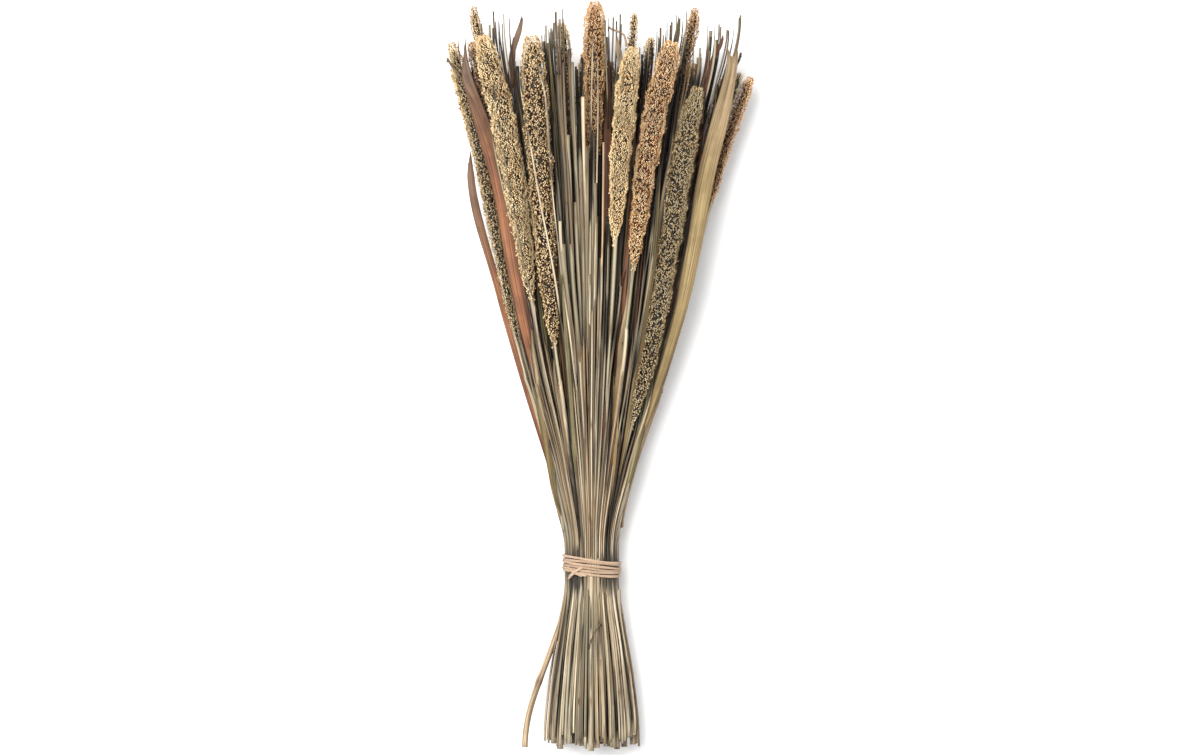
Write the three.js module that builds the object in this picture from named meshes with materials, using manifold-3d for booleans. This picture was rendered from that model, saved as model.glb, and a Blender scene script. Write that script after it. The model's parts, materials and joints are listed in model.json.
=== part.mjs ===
// A bundle of dried foxtail millet, lying on its side: grain spikes, leaves and bare straws,
// all running through one raffia tie. Millimetres, +Z up, cut ends at -Y, spikes towards +Y.
import * as THREE from "three";
import { mergeVertices } from "three/addons/utils/BufferGeometryUtils.js";
import Module from "manifold-3d";

const wasm = await Module();
wasm.setup();

// ---------------------------------------------------------------- driving dimensions, mm

// The bundle's section along its length, from the cut ends (0) to the highest tip (650).
// Each row: distance, half-width, rise above the axis, drop below it, height of the axis.
// They are measured to the middles of the outermost stalks.
const SECTIONS = [
  [0, 38, 27, 23, 24.6],
  [80, 31.5, 25, 22.5, 26.5],
  [148, 21.2, 21.2, 21.2, 27.8],
  [174, 21.2, 21.2, 21.2, 27.8],
  [230, 31, 25.5, 22, 29.5],
  [290, 46, 32, 24.5, 32],
  [350, 63, 39, 28, 35],
  [410, 76, 44, 31, 38],
  [470, 88, 47.5, 33, 40],
  [530, 101, 50.5, 35, 42],
  [590, 119, 53, 36.5, 43.5],
  [650, 136, 55, 38, 45],
];
// Where a stalk has a ring of points along its length.
const STATIONS = [148, 174, 240, 310, 395, 500];
const STATION_APART = 12; // a stalk's end this close to a station takes its place
const SPREAD_FROM = 174; // the stalks leave their places in the tie here
const SPREAD_TO = 350; // and have reached their places in the fan here
const LEAN_OVER = 250; // beyond that, a stalk may lean over this length
const FEET_SPREAD_FROM = 148; // below this, a stray stalk may leave the others

const STALK_RADIUS_AT_TIE = 2.5;
const STALK_RADIUS_ABOVE = 2.1;
const NECK_RADIUS = 1.5; // a spike's stalk just under its grain
const SLIMS_OVER = 150; // a stalk slims over this length above the tie
const STRAW_SIDES = 5;
const GAP_NEAR_TIE = 0.35; // clear gap between two stalks where they are pressed together
const GAP_IN_FAN = 0.9; // and where they spread
const OUT_OF_TIE = 200; // the stalks spread beyond this distance from the cut ends
const NUDGE = 0.02; // how much further than needed a stalk is moved aside
const MOST_NUDGES = 60;
const PRESSED_SHARE = 0.8; // a stalk on the floor is pressed to this share of its radius
const UNEVEN_FOOT = 13; // the cut ends differ by this much

// A spike's surface: rows of lobes, three lobes to a row, each row half a step round.
const SPIKE_SECTORS = 9;
const SPIKE_ROW = 14.5; // length of a row
const LOBE_SHARE = 0.72; // radius between two lobes, as a share of the radius on a lobe
const NECK_SHARE = 0.35; // a spike's radius at its neck, as a share of its full radius
const TIP_CUT = 0.985; // the last row stands this far along the shape, so the tip is blunt

// A leaf opens slowly from its stalk, is widest below its cut top and a little folded.
const BLADE_THICKNESS = 0.8;
const BLADE_ROOT_HALF = 2.2;
const BLADE_FOLD = 1.1;
const BLADE_OPENS_OVER = 330;
const BLADE_NARROWS_FROM = 500;
const BLADE_TOP_SHARE = 0.64; // width at the cut top, as a share of the widest
const STEM_IN_BLADE = 30; // how far the stalk runs on inside the blade

// The innermost straws: six round a middle one, wide enough in the tie to press into each other.
const CORE = {
  ring: 4.9,
  radius: 2.7,
  pressedFrom: 80,
  pressedTo: 230,
  top: 360,
  unevenTop: 40,
  fan: [0.3, 0.22],
};

// Bare straws are cut at uneven heights. Each tuft has one thick straw and thin ones beside it.
const LOWEST_TOP = 410;
const THICK_TOP = 606;
const THIN_TOP = 636;
const TUFT_SPREAD = [0.095, 0.0665]; // across and up, as shares of the bundle
const TURN_IN_TUFT = 0.4; // radians that each straw's sides are turned from the last one's

const TIE = {
  middle: 160,
  inner: 24.1,
  turns: 5,
  turnWidth: 2.8,
  thinnest: 1.1,
  thickest: 2.3,
  slope: -0.08, // its right side sits nearer the cut ends
  segments: 20,
};
const KNOT = {
  degrees: 34, // round the tie from its highest point, to the left
  below: 4, // its middle, nearer the cut ends than the tie's
  half: [5.2, 3.6, 2.4],
  end: [11, 2.4, 0.9],
  endTurn: 0.5, // radians that the two ends are turned, one each way
  endOut: 5.5,
  endApart: 2.6,
};

// ---------------------------------------------------------------- finishes

const finish = (colour, roughness) =>
  new THREE.MeshStandardMaterial({ color: colour, roughness, metalness: 0 });
const FINISHES = {
  straw: finish(0xa8a27c, 0.6),
  paleStraw: finish(0xcdbb92, 0.6),
  cream: finish(0xd7b98c, 0.9),
  golden: finish(0xc89b5f, 0.9),
  orange: finish(0xcd965f, 0.9),
  khaki: finish(0xaf9664, 0.9),
  olive: finish(0xa58750, 0.9),
  rust: finish(0xb4743f, 0.9),
  dark: finish(0x6b452a, 0.9),
  copperLeaf: finish(0x965f3c, 0.65),
  tanLeaf: finish(0xbea582, 0.65),
  raffia: finish(0xcdaa87, 0.75),
};

// ---------------------------------------------------------------- the bundle's own space

const mix = (from, to, share) => from + (to - from) * share;
const eased = (share) => {
  const t = Math.min(1, Math.max(0, share));
  return t * t * (3 - 2 * t);
};
// Evenly scattered numbers between 0 and 1, the same each time.
const scattered = (n) => (n * 0.61803398875) % 1;

// Slope through a station that never overshoots its neighbours.
function gentleSlope(before, after) {
  return before * after <= 0 ? 0 : (2 * before * after) / (before + after);
}

// Half-width, rise, drop and axis height at one distance from the cut ends.
function sectionAt(y) {
  let i = 0;
  while (i < SECTIONS.length - 2 && y > SECTIONS[i + 1][0]) i += 1;
  const from = SECTIONS[i];
  const to = SECTIONS[i + 1];
  const before = SECTIONS[Math.max(0, i - 1)];
  const after = SECTIONS[Math.min(SECTIONS.length - 1, i + 2)];
  const span = to[0] - from[0];
  const t = (y - from[0]) / span;
  const read = (column) => {
    const slope = (to[column] - from[column]) / span;
    const slopeBefore = (from[column] - before[column]) / (from[0] - before[0] || 1);
    const slopeAfter = (after[column] - to[column]) / (after[0] - to[0] || 1);
    const start = gentleSlope(slopeBefore, slope) * span;
    const end = gentleSlope(slope, slopeAfter) * span;
    const rise = to[column] - from[column];
    return from[column] + t * (start + t * (3 * rise - 2 * start - end + t * (start + end - 2 * rise)));
  };
  return { wide: read(1), rise: read(2), drop: read(3), axis: read(4) };
}

// A point of the bundle: how far across (-1 to 1) and how far up (-1 to 1) its section.
function inBundle(across, up, y) {
  const { wide, rise, drop, axis } = sectionAt(y);
  return { x: across * wide, y, z: axis + up * (up > 0 ? rise : drop) };
}

// A stalk's place in the tie: one of the rings round the core, at an angle in degrees.
function placeInTie(ring, degrees) {
  const angle = THREE.MathUtils.degToRad(degrees);
  return [(ring / 4) * Math.cos(angle), (ring / 4) * Math.sin(angle)];
}

// A stalk runs from its place in the tie to its place in the fan, and may lean out at its tip.
function onStalk(stalk, y) {
  const share = eased((y - SPREAD_FROM) / (SPREAD_TO - SPREAD_FROM));
  const tip = Math.max(0, (y - SPREAD_TO) / LEAN_OVER) ** 2 * (stalk.lean || 0);
  const foot = Math.max(0, 1 - y / FEET_SPREAD_FROM) * (stalk.stray || 0);
  const across = mix(stalk.tie[0], stalk.fan[0], share) + tip + foot;
  const up = mix(stalk.tie[1], stalk.fan[1], share);
  return inBundle(across, up, y);
}

// ---------------------------------------------------------------- keeping stalks apart

const laid = []; // every run of rings laid so far, each with the node it belongs to

function alongRun(rings, y) {
  if (y < rings[0].y || y > rings[rings.length - 1].y) return null;
  let i = 0;
  while (i < rings.length - 2 && y > rings[i + 1].y) i += 1;
  const share = (y - rings[i].y) / (rings[i + 1].y - rings[i].y);
  const read = (key) => mix(rings[i][key], rings[i + 1][key], share);
  return { x: read("x"), z: read("z"), reach: read("reach") };
}

// Moves a point of a stalk sideways until it is clear of all that is laid there.
function bentClear(point, reach, owner) {
  const moved = { ...point };
  const apart = point.y < OUT_OF_TIE ? GAP_NEAR_TIE : GAP_IN_FAN;
  for (let pass = 0; pass < MOST_NUDGES; pass += 1) {
    let worst = 0;
    for (const run of laid) {
      if (run.owner === owner) continue;
      const other = alongRun(run.rings, point.y);
      if (!other) continue;
      const dx = moved.x - other.x;
      const dz = moved.z - other.z;
      const gap = Math.hypot(dx, dz) || 0.01;
      const short = reach + other.reach + apart - gap;
      if (short <= 0) continue;
      moved.x += (dx / gap) * (short + NUDGE);
      moved.z += (dz / gap) * (short + NUDGE);
      worst = Math.max(worst, short);
    }
    if (worst < NUDGE) break;
  }
  moved.z = Math.max(moved.z, reach * PRESSED_SHARE);
  return moved;
}

function lay(owner, rings) {
  laid.push({ owner, rings });
  return rings;
}

// ---------------------------------------------------------------- solids

function solidOf(geometry) {
  const plain = geometry.clone();
  plain.deleteAttribute("normal");
  plain.deleteAttribute("uv");
  const merged = mergeVertices(plain, 1e-4);
  return new wasm.Manifold(
    new wasm.Mesh({
      numProp: 3,
      vertProperties: new Float32Array(merged.getAttribute("position").array),
      triVerts: new Uint32Array(merged.index.array),
    }),
  );
}

function geometryOf(solid) {
  const mesh = solid.getMesh();
  const geometry = new THREE.BufferGeometry();
  geometry.setAttribute("position", new THREE.BufferAttribute(mesh.vertProperties, 3));
  geometry.setIndex(new THREE.BufferAttribute(mesh.triVerts, 1));
  return geometry;
}

// Direction of a run at one of its rings, with the directions to its side and its upper face.
function frameAt(rings, row) {
  const before = rings[Math.max(0, row - 1)];
  const after = rings[Math.min(rings.length - 1, row + 1)];
  const along = new THREE.Vector3(after.x - before.x, after.y - before.y, after.z - before.z);
  along.normalize();
  const side = new THREE.Vector3().crossVectors(along, new THREE.Vector3(0, 0, 1)).normalize();
  const up = new THREE.Vector3().crossVectors(side, along);
  return { side, up };
}

// A closed cylinder carried along a run. reachOf gives the radius for a row and a sector.
function tubeAlong(rings, sides, reachOf, turnOf = () => 0) {
  const rows = rings.length - 1;
  const tube = new THREE.CylinderGeometry(1, 1, 1, sides, rows);
  const position = tube.getAttribute("position");
  const sector = (2 * Math.PI) / sides;
  for (let i = 0; i < position.count; i += 1) {
    const row = Math.round((position.getY(i) + 0.5) * rows);
    const x = position.getX(i);
    const z = position.getZ(i);
    const onAxis = Math.hypot(x, z) < 0.5;
    const column = Math.round(Math.atan2(x, z) / sector);
    const angle = column * sector + turnOf(row);
    const reach = onAxis ? 0 : reachOf(row, (column + sides) % sides);
    const { side, up } = frameAt(rings, row);
    const ring = rings[row];
    const out = side.multiplyScalar(Math.sin(angle) * reach).addScaledVector(up, Math.cos(angle) * reach);
    position.setXYZ(i, ring.x + out.x, ring.y + out.y, ring.z + out.z);
  }
  return solidOf(tube);
}

function strawAlong(rings, turn = 0) {
  return tubeAlong(rings, STRAW_SIDES, (row) => rings[row].reach, () => turn);
}

// A thin folded sheet carried along a run: both faces are split alike, and a border joins them.
function bladeAlong(rings) {
  const rows = rings.length - 1;
  const sheet = new THREE.PlaneGeometry(1, 1, 2, rows);
  const flat = sheet.getAttribute("position");
  const count = flat.count;
  const points = new Float32Array(count * 6);
  for (let i = 0; i < count; i += 1) {
    const row = Math.round((flat.getY(i) + 0.5) * rows);
    const ring = rings[row];
    const { side, up } = frameAt(rings, row);
    const turned = side.clone().multiplyScalar(Math.cos(ring.roll)).addScaledVector(up, Math.sin(ring.roll));
    const raised = up.clone().multiplyScalar(Math.cos(ring.roll)).addScaledVector(side, -Math.sin(ring.roll));
    const across = 2 * flat.getX(i);
    for (const face of [0, 1]) {
      const lift = Math.abs(across) * ring.fold + (0.5 - face) * BLADE_THICKNESS;
      const point = new THREE.Vector3(ring.x, ring.y, ring.z)
        .addScaledVector(turned, across * ring.half)
        .addScaledVector(raised, lift);
      point.toArray(points, (face * count + i) * 3);
    }
  }
  const top = Array.from(sheet.index.array);
  const bottom = top.map((vertex) => vertex + count).reverse();
  const border = [];
  for (let row = rows; row > 0; row -= 1) border.push(row * 3 + 2);
  border.push(2, 1);
  for (let row = 0; row < rows; row += 1) border.push(row * 3);
  border.push(rows * 3, rows * 3 + 1);
  const walls = border.flatMap((from, i) => {
    const to = border[(i + 1) % border.length];
    return [from, from + count, to, from + count, to + count, to];
  });
  const geometry = new THREE.BufferGeometry();
  geometry.setAttribute("position", new THREE.BufferAttribute(points, 3));
  geometry.setIndex([...top, ...bottom, ...walls]);
  return solidOf(geometry);
}

// One solid from several that meet, without the slivers that are left where their faces cross.
const SLIVER = 0.12;
const joined = (solids) => solids.reduce((whole, solid) => whole.add(solid)).simplify(SLIVER);

// ---------------------------------------------------------------- stalks and straws

let counter = 0;

// Radius of a stalk along its length: full at the tie and below it, slimmer above.
function stalkReach(y, atTop) {
  return mix(STALK_RADIUS_AT_TIE, atTop, eased((y - SPREAD_FROM) / SLIMS_OVER));
}

// Where a run between two distances has its rings: at its ends and at the stations between them.
function stopsBetween(from, to) {
  const between = STATIONS.filter((y) => y > from + STATION_APART && y < to - STATION_APART);
  return [from, ...between, to];
}

// The rings of a stalk between two distances, bent clear of what is laid already.
function stalkRings(stalk, owner, from, to, atTop) {
  return stopsBetween(from, to).map((y) => {
    const reach = stalkReach(y, atTop);
    const point = y > SPREAD_FROM ? bentClear(onStalk(stalk, y), reach, owner) : onStalk(stalk, y);
    return { ...point, reach };
  });
}

function unevenFoot() {
  counter += 1;
  return UNEVEN_FOOT * scattered(counter);
}

// ---------------------------------------------------------------- spikes

// Every spike: name, ring and angle in the tie, place in the fan (across, up), lean of its tip,
// distance of its neck and tip from the cut ends, thickness, finish.
const SPIKES = [
  ["spike_khaki_right", 4, 45, [0.82, 0.62], -0.02, 280, 576, 20.5, "khaki"],
  ["spike_orange_right", 4, 60, [0.46, 0.9], 0.08, 417, 614, 20.5, "orange"],
  ["spike_cream_centre", 4, 75, [0.24, 0.98], 0.04, 438, 609, 19.5, "cream"],
  ["spike_golden_left", 4, 120, [-0.5, 0.9], 0.09, 350, 619, 21.5, "golden"],
  ["spike_cream_left", 4, 135, [-0.71, 0.73], -0.02, 392, 620, 20.5, "cream"],
  ["spike_olive_left_edge", 4, 165, [-1.0, 0.16], 0.04, 350, 616, 14, "olive"],
  ["spike_rust_right_edge", 4, 0, [1.16, -0.08], 0.02, 470, 587, 11.5, "rust"],
  ["spike_pale_right_edge", 4, 15, [1.07, 0.14], 0.02, 520, 590, 8, "khaki"],
  ["spike_rust_behind", 3, 100, [0.02, 0.52], 0.0, 500, 650, 18.5, "rust"],
  ["spike_dark_behind", 3, 80, [0.13, 0.2], 0.0, 440, 600, 13, "dark"],
  ["spike_olive_behind", 3, 120, [-0.23, 0.36], 0.03, 480, 632, 14, "olive"],
  ["spike_short_behind", 3, 60, [0.3, 0.52], -0.02, 590, 640, 7.5, "golden"],
  ["spike_tan_behind", 3, 40, [0.4, 0.36], 0.0, 540, 620, 9.5, "golden"],
  ["spike_dark_right_behind", 3, 20, [0.66, 0.2], 0.0, 500, 646, 12, "dark"],
  ["spike_brown_left_behind", 3, 160, [-0.84, 0.3], 0.02, 440, 616, 12, "dark"],
  ["spike_tan_left_behind", 3, 180, [-0.77, -0.06], 0.01, 470, 649, 10.5, "golden"],
  ["spike_under_left_edge", 4, 195, [-0.98, -0.42], 0.0, 400, 600, 15, "golden"],
  ["spike_under_left", 4, 225, [-0.74, -0.97], 0.0, 380, 606, 19, "khaki"],
  ["spike_under_left_inner", 4, 240, [-0.47, -1.0], 0.0, 360, 585, 18.5, "orange"],
  ["spike_under_centre", 4, 270, [-0.03, -1.0], 0.0, 400, 612, 19.5, "golden"],
  ["spike_under_right_inner", 4, 300, [0.42, -1.0], 0.0, 370, 590, 18.5, "cream"],
  ["spike_under_right", 4, 315, [0.72, -0.97], 0.0, 390, 602, 19, "rust"],
  ["spike_under_right_edge", 4, 345, [1.0, -0.48], 0.0, 430, 588, 13.5, "olive"],
];

// Share of the full radius along a spike: narrow at the neck, full in its upper half, blunt at its tip.
function spikeShare(t) {
  const swell = 1 - (1 - NECK_SHARE) * (1 - t) ** 3;
  return swell * Math.sqrt(Math.max(0, 1 - t ** 9));
}

function spikeRings(stalk, neck, tip, thickness) {
  const rows = Math.max(5, Math.round((tip - neck) / SPIKE_ROW));
  return Array.from({ length: rows + 1 }, (_, row) => {
    const t = row / rows;
    const reach = (thickness / 2) * spikeShare(t * TIP_CUT);
    return { ...onStalk(stalk, mix(neck, tip, t)), reach };
  });
}

function spikeSolid(rings) {
  const rows = rings.length - 1;
  const sector = (2 * Math.PI) / SPIKE_SECTORS;
  const reachOf = (row, column) => {
    const atEnd = row === 0 || row === rows;
    const onLobe = (column + row) % 3 === 0;
    return rings[row].reach * (atEnd || onLobe ? 1 : LOBE_SHARE);
  };
  return tubeAlong(rings, SPIKE_SECTORS, reachOf, (row) => (-row * sector) / 2);
}

// ---------------------------------------------------------------- leaves

// Every leaf: name, angle in the tie's outer ring, place in the fan, lean of its top, how far its
// foot strays, where the blade leaves the stalk, its cut top, half-width, roll in degrees, finish.
const LEAVES = [
  ["leaf_wide_right", 30, [1.1, 0.43], -0.125, 0, 216, 612, 8.2, -18, "tanLeaf"],
  ["leaf_copper_left", 150, [-0.86, 0.47], 0, 0, 216, 622, 8.4, 22, "copperLeaf"],
  ["leaf_narrow_left", 180, [-1.09, -0.05], 0, -0.55, 216, 512, 4.2, 30, "copperLeaf"],
  ["leaf_under_right", 330, [1.0, -0.78], 0, 0, 216, 570, 6.8, 150, "tanLeaf"],
];

// Half-width of a blade along its length.
function bladeHalf(y, from, to, half) {
  const open = eased((y - from) / BLADE_OPENS_OVER);
  const narrowed = eased((y - BLADE_NARROWS_FROM) / (to - BLADE_NARROWS_FROM));
  const past = to > BLADE_NARROWS_FROM ? narrowed : 0;
  return mix(BLADE_ROOT_HALF, half, open) * mix(1, BLADE_TOP_SHARE, past);
}

function leafSolid(owner, stalk, from, to, half, roll) {
  const stem = stalkRings(stalk, owner, unevenFoot(), from + STEM_IN_BLADE, NECK_RADIUS);
  const blade = stopsBetween(from, to).map((y) => {
    const open = eased((y - from) / BLADE_OPENS_OVER);
    return {
      ...onStalk(stalk, y),
      half: bladeHalf(y, from, to, half),
      fold: BLADE_FOLD * open,
      roll: THREE.MathUtils.degToRad(roll) * open,
      reach: bladeHalf(y, from, to, half),
    };
  });
  lay(owner, stem);
  lay(owner, blade);
  return joined([strawAlong(stem), bladeAlong(blade)]);
}

// ---------------------------------------------------------------- tufts of bare straws

// Every tuft: name, ring and angle in the tie, place in the fan, number of straws, finish.
const TUFTS = [
  ["straws_front_right", 4, 90, [0.02, 0.97], 4, "straw"],
  ["straws_front_left", 4, 105, [-0.24, 0.95], 4, "straw"],
  ["straws_under_left", 4, 210, [-0.92, -0.66], 3, "paleStraw"],
  ["straws_under_mid_left", 4, 255, [-0.24, -0.94], 3, "straw"],
  ["straws_under_mid_right", 4, 285, [0.2, -0.94], 3, "paleStraw"],
  ["straws_right", 3, 0, [0.84, -0.02], 3, "straw"],
  ["straws_left", 3, 140, [-0.52, 0.42], 3, "straw"],
];
for (let degrees = 200; degrees < 360; degrees += 20) {
  const share = (degrees - 200) / 140;
  const name = `straws_lower_${degrees}`;
  TUFTS.push([name, 3, degrees, [mix(-0.76, 0.76, share), -0.5], 2, degrees % 40 ? "paleStraw" : "straw"]);
}
for (let degrees = 0; degrees < 360; degrees += 30) {
  const [across, up] = placeInTie(2, degrees);
  const name = `straws_inner_${degrees}`;
  TUFTS.push([name, 2, degrees, [across * 1.1, up * 0.8], 2, degrees % 60 ? "straw" : "paleStraw"]);
}

function tuftSolid(owner, stalk, straws) {
  const solids = [];
  for (let n = 0; n < straws; n += 1) {
    const thick = n === 0;
    const angle = 2 * Math.PI * scattered(counter + n) + n;
    const [across, up] = thick ? [0, 0] : TUFT_SPREAD;
    const own = {
      tie: stalk.tie,
      fan: [stalk.fan[0] + across * Math.cos(angle), stalk.fan[1] + up * Math.sin(angle)],
    };
    const foot = thick ? unevenFoot() : SPREAD_FROM;
    const top = mix(LOWEST_TOP, thick ? THICK_TOP : THIN_TOP, scattered(3 * counter + 7 * n));
    const rings = stalkRings(own, owner, foot, top, thick ? STALK_RADIUS_ABOVE : NECK_RADIUS);
    lay(owner, rings);
    solids.push(strawAlong(rings, n * TURN_IN_TUFT));
  }
  return joined(solids);
}

// The innermost straws, pressed into each other in the tie and spreading above and below it.
function coreSolid() {
  const places = [[0, 0]];
  for (let n = 0; n < 6; n += 1) {
    const angle = (n * Math.PI) / 3;
    places.push([Math.cos(angle), Math.sin(angle)]);
  }
  const wide = sectionAt(TIE.middle).wide;
  const solids = places.map(([across, up], n) => {
    const tie = [(across * CORE.ring) / wide, (up * CORE.ring) / wide];
    const stalk = { tie, fan: [across * CORE.fan[0], up * CORE.fan[1]] };
    const foot = n === 0 ? 0 : unevenFoot();
    const top = CORE.top - CORE.unevenTop * scattered(n);
    const rings = stalkRings(stalk, "straws_core", foot, top, NECK_RADIUS);
    const pressed = rings.map((ring) => {
      const inTie = ring.y >= CORE.pressedFrom && ring.y <= CORE.pressedTo;
      return { ...ring, reach: ring.reach + (inTie ? CORE.radius - STALK_RADIUS_AT_TIE : 0) };
    });
    lay("straws_core", pressed);
    return strawAlong(pressed);
  });
  return joined(solids);
}

// ---------------------------------------------------------------- the raffia tie

// The band: flat turns side by side, each a little crowned, round the whole bundle.
function tieBand() {
  const low = (-TIE.turns * TIE.turnWidth) / 2;
  const profile = [new THREE.Vector2(TIE.inner, low)];
  for (let turn = 0; turn < TIE.turns; turn += 1) {
    const start = low + turn * TIE.turnWidth;
    const proud = mix((TIE.thinnest + TIE.thickest) / 2, TIE.thickest, scattered(turn + 2));
    profile.push(new THREE.Vector2(TIE.inner + TIE.thinnest, start));
    profile.push(new THREE.Vector2(TIE.inner + proud, start + TIE.turnWidth / 2));
  }
  profile.push(new THREE.Vector2(TIE.inner + TIE.thinnest, -low));
  profile.push(new THREE.Vector2(TIE.inner, -low));
  profile.push(profile[0].clone());
  return new THREE.LatheGeometry(profile, TIE.segments);
}

// A flattened lump of crossed raffia on the upper side, with two short ends leaving it.
function tieKnot() {
  const out = TIE.inner + (TIE.thinnest + TIE.thickest) / 2;
  const lump = new THREE.SphereGeometry(1, 8, 5).scale(...KNOT.half);
  const pieces = [lump.translate(0, -KNOT.below, out)];
  for (const side of [-1, 1]) {
    const end = new THREE.BoxGeometry(...KNOT.end).rotateZ(side * KNOT.endTurn);
    const across = side * KNOT.endOut;
    pieces.push(end.translate(across, -KNOT.below - side * KNOT.endApart, out + KNOT.end[2]));
  }
  const turn = -THREE.MathUtils.degToRad(KNOT.degrees);
  return pieces.map((piece) => solidOf(piece.rotateY(turn)));
}

function tieSolid() {
  const place = new THREE.Matrix4()
    .makeShear(TIE.slope, 0, 0, 0, 0, 0)
    .setPosition(0, TIE.middle, sectionAt(TIE.middle).axis);
  const whole = joined([solidOf(tieBand()), ...tieKnot()]);
  return solidOf(geometryOf(whole).applyMatrix4(place));
}

// ---------------------------------------------------------------- assembly

const bundle = new THREE.Group();
const FLOOR = [600, 900, 60]; // wider and longer than the bundle
const floor = solidOf(new THREE.BoxGeometry(...FLOOR).translate(0, FLOOR[1] / 3, -FLOOR[2] / 2));

// Adds one named piece. What would reach below the surface it lies on is pressed flat there.
function addPiece(name, solid, finishName) {
  const geometry = geometryOf(solid);
  geometry.computeBoundingBox();
  const pressed = geometry.boundingBox.min.z < 0 ? geometryOf(solid.subtract(floor)) : geometry;
  const mesh = new THREE.Mesh(pressed, FINISHES[finishName]);
  mesh.name = name;
  bundle.add(mesh);
}

const heads = SPIKES.map(([name, ring, degrees, fan, lean, neck, tip, thickness, finishName]) => {
  const stalk = { tie: placeInTie(ring, degrees), fan, lean };
  const rings = spikeRings(stalk, neck, tip, thickness);
  lay(name, rings);
  return { name, stalk, rings, neck, finishName };
});
for (const { name, stalk, rings, neck, finishName } of heads) {
  const intoGrain = neck + 2 * SPIKE_ROW;
  const stem = stalkRings(stalk, name, unevenFoot(), neck - 4, NECK_RADIUS);
  stem.push({ ...onStalk(stalk, intoGrain), reach: NECK_RADIUS });
  lay(name, stem);
  addPiece(name, joined([strawAlong(stem), spikeSolid(rings)]), finishName);
}
for (const [name, degrees, fan, lean, stray, from, to, half, roll, finishName] of LEAVES) {
  const stalk = { tie: placeInTie(4, degrees), fan, lean, stray };
  addPiece(name, leafSolid(name, stalk, from, to, half, roll), finishName);
}
addPiece("straws_core", coreSolid(), "straw");
for (const [name, ring, degrees, fan, straws, finishName] of TUFTS) {
  const stalk = { tie: placeInTie(ring, degrees), fan };
  addPiece(name, tuftSolid(name, stalk, straws), finishName);
}
addPiece("raffia_tie", tieSolid(), "raffia");

// The origin is under the middle of the bundle's box, on the surface it lies on.
const box = new THREE.Box3().setFromObject(bundle, true);
const middle = box.getCenter(new THREE.Vector3());
bundle.position.set(-middle.x, -middle.y, -box.min.z);

export default bundle;
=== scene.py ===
# %% [markdown]
# # A bunch of dried foxtail millet
# The bunch lies on a pale table: bristly grain spikes, dry leaves and bare straws fan out of one
# raffia tie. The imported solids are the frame. Each of them is dressed here with a finer piece of the
# same form: real grains, ribbed hollow straws, veined leaves and a wound strip of raffia.

# %% The frame
import json
import math

import bpy
import numpy as np
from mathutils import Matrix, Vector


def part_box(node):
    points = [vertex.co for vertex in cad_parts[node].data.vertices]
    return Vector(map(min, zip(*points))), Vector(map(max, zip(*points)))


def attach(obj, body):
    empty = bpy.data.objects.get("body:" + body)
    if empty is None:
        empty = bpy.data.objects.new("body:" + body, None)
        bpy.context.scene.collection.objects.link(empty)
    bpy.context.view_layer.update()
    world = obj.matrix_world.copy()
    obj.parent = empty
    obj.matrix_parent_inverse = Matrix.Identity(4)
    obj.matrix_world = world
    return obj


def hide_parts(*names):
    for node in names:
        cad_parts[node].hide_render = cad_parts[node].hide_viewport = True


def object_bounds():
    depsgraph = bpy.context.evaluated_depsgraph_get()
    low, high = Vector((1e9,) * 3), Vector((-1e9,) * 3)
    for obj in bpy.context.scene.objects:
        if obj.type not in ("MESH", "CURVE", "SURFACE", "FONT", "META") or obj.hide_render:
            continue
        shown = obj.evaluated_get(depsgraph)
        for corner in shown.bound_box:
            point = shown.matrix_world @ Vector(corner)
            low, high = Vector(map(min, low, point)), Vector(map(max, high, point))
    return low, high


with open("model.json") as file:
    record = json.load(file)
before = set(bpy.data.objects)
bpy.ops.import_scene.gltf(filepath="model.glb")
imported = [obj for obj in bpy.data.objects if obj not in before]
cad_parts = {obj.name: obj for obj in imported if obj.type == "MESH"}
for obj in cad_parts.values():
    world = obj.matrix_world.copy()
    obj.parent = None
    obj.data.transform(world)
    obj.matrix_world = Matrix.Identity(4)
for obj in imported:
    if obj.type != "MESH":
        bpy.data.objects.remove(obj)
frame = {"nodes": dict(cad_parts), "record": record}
CAD_BOX = [list(corner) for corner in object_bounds()]
print("packed solids:", len(frame["nodes"]), "box:", CAD_BOX)

# %% [markdown]
# ## The bundle's own space
# A tied bunch is easiest to describe from the inside. Every stalk has a place in the tie and a place
# in the fan, both as shares of the bunch's half-width and half-height, and the bunch widens along its
# length. The other way is to draw every stalk by hand, but then they cross each other. Here all of
# them follow one widening section, so they fan out as straws do.

# %% The widening section
MM = 0.001
SECTIONS = np.array([
    # distance from the cut ends, half-width, rise, drop, height of the axis, in mm
    [0, 38, 27, 23, 24.6],
    [80, 31.5, 25, 22.5, 26.5],
    [148, 21.2, 21.2, 21.2, 27.8],
    [174, 21.2, 21.2, 21.2, 27.8],
    [230, 31, 25.5, 22, 29.5],
    [290, 46, 32, 24.5, 32],
    [350, 63, 39, 28, 35],
    [410, 76, 44, 31, 38],
    [470, 88, 47.5, 33, 40],
    [530, 101, 50.5, 35, 42],
    [590, 119, 53, 36.5, 43.5],
    [650, 136, 55, 38, 45],
])
STATIONS = [148, 174, 240, 310, 395, 500]
SPREAD_FROM, SPREAD_TO, LEAN_OVER, FEET_SPREAD_FROM = 174, 350, 250, 148
TIE_MIDDLE, TIE_INNER = 160, 24.1

tie_low, tie_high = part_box("raffia_tie")
ACROSS_AT_TIE = (tie_low.x + tie_high.x) / 2 / MM
CUT_ENDS = CAD_BOX[0][1] / MM


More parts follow.
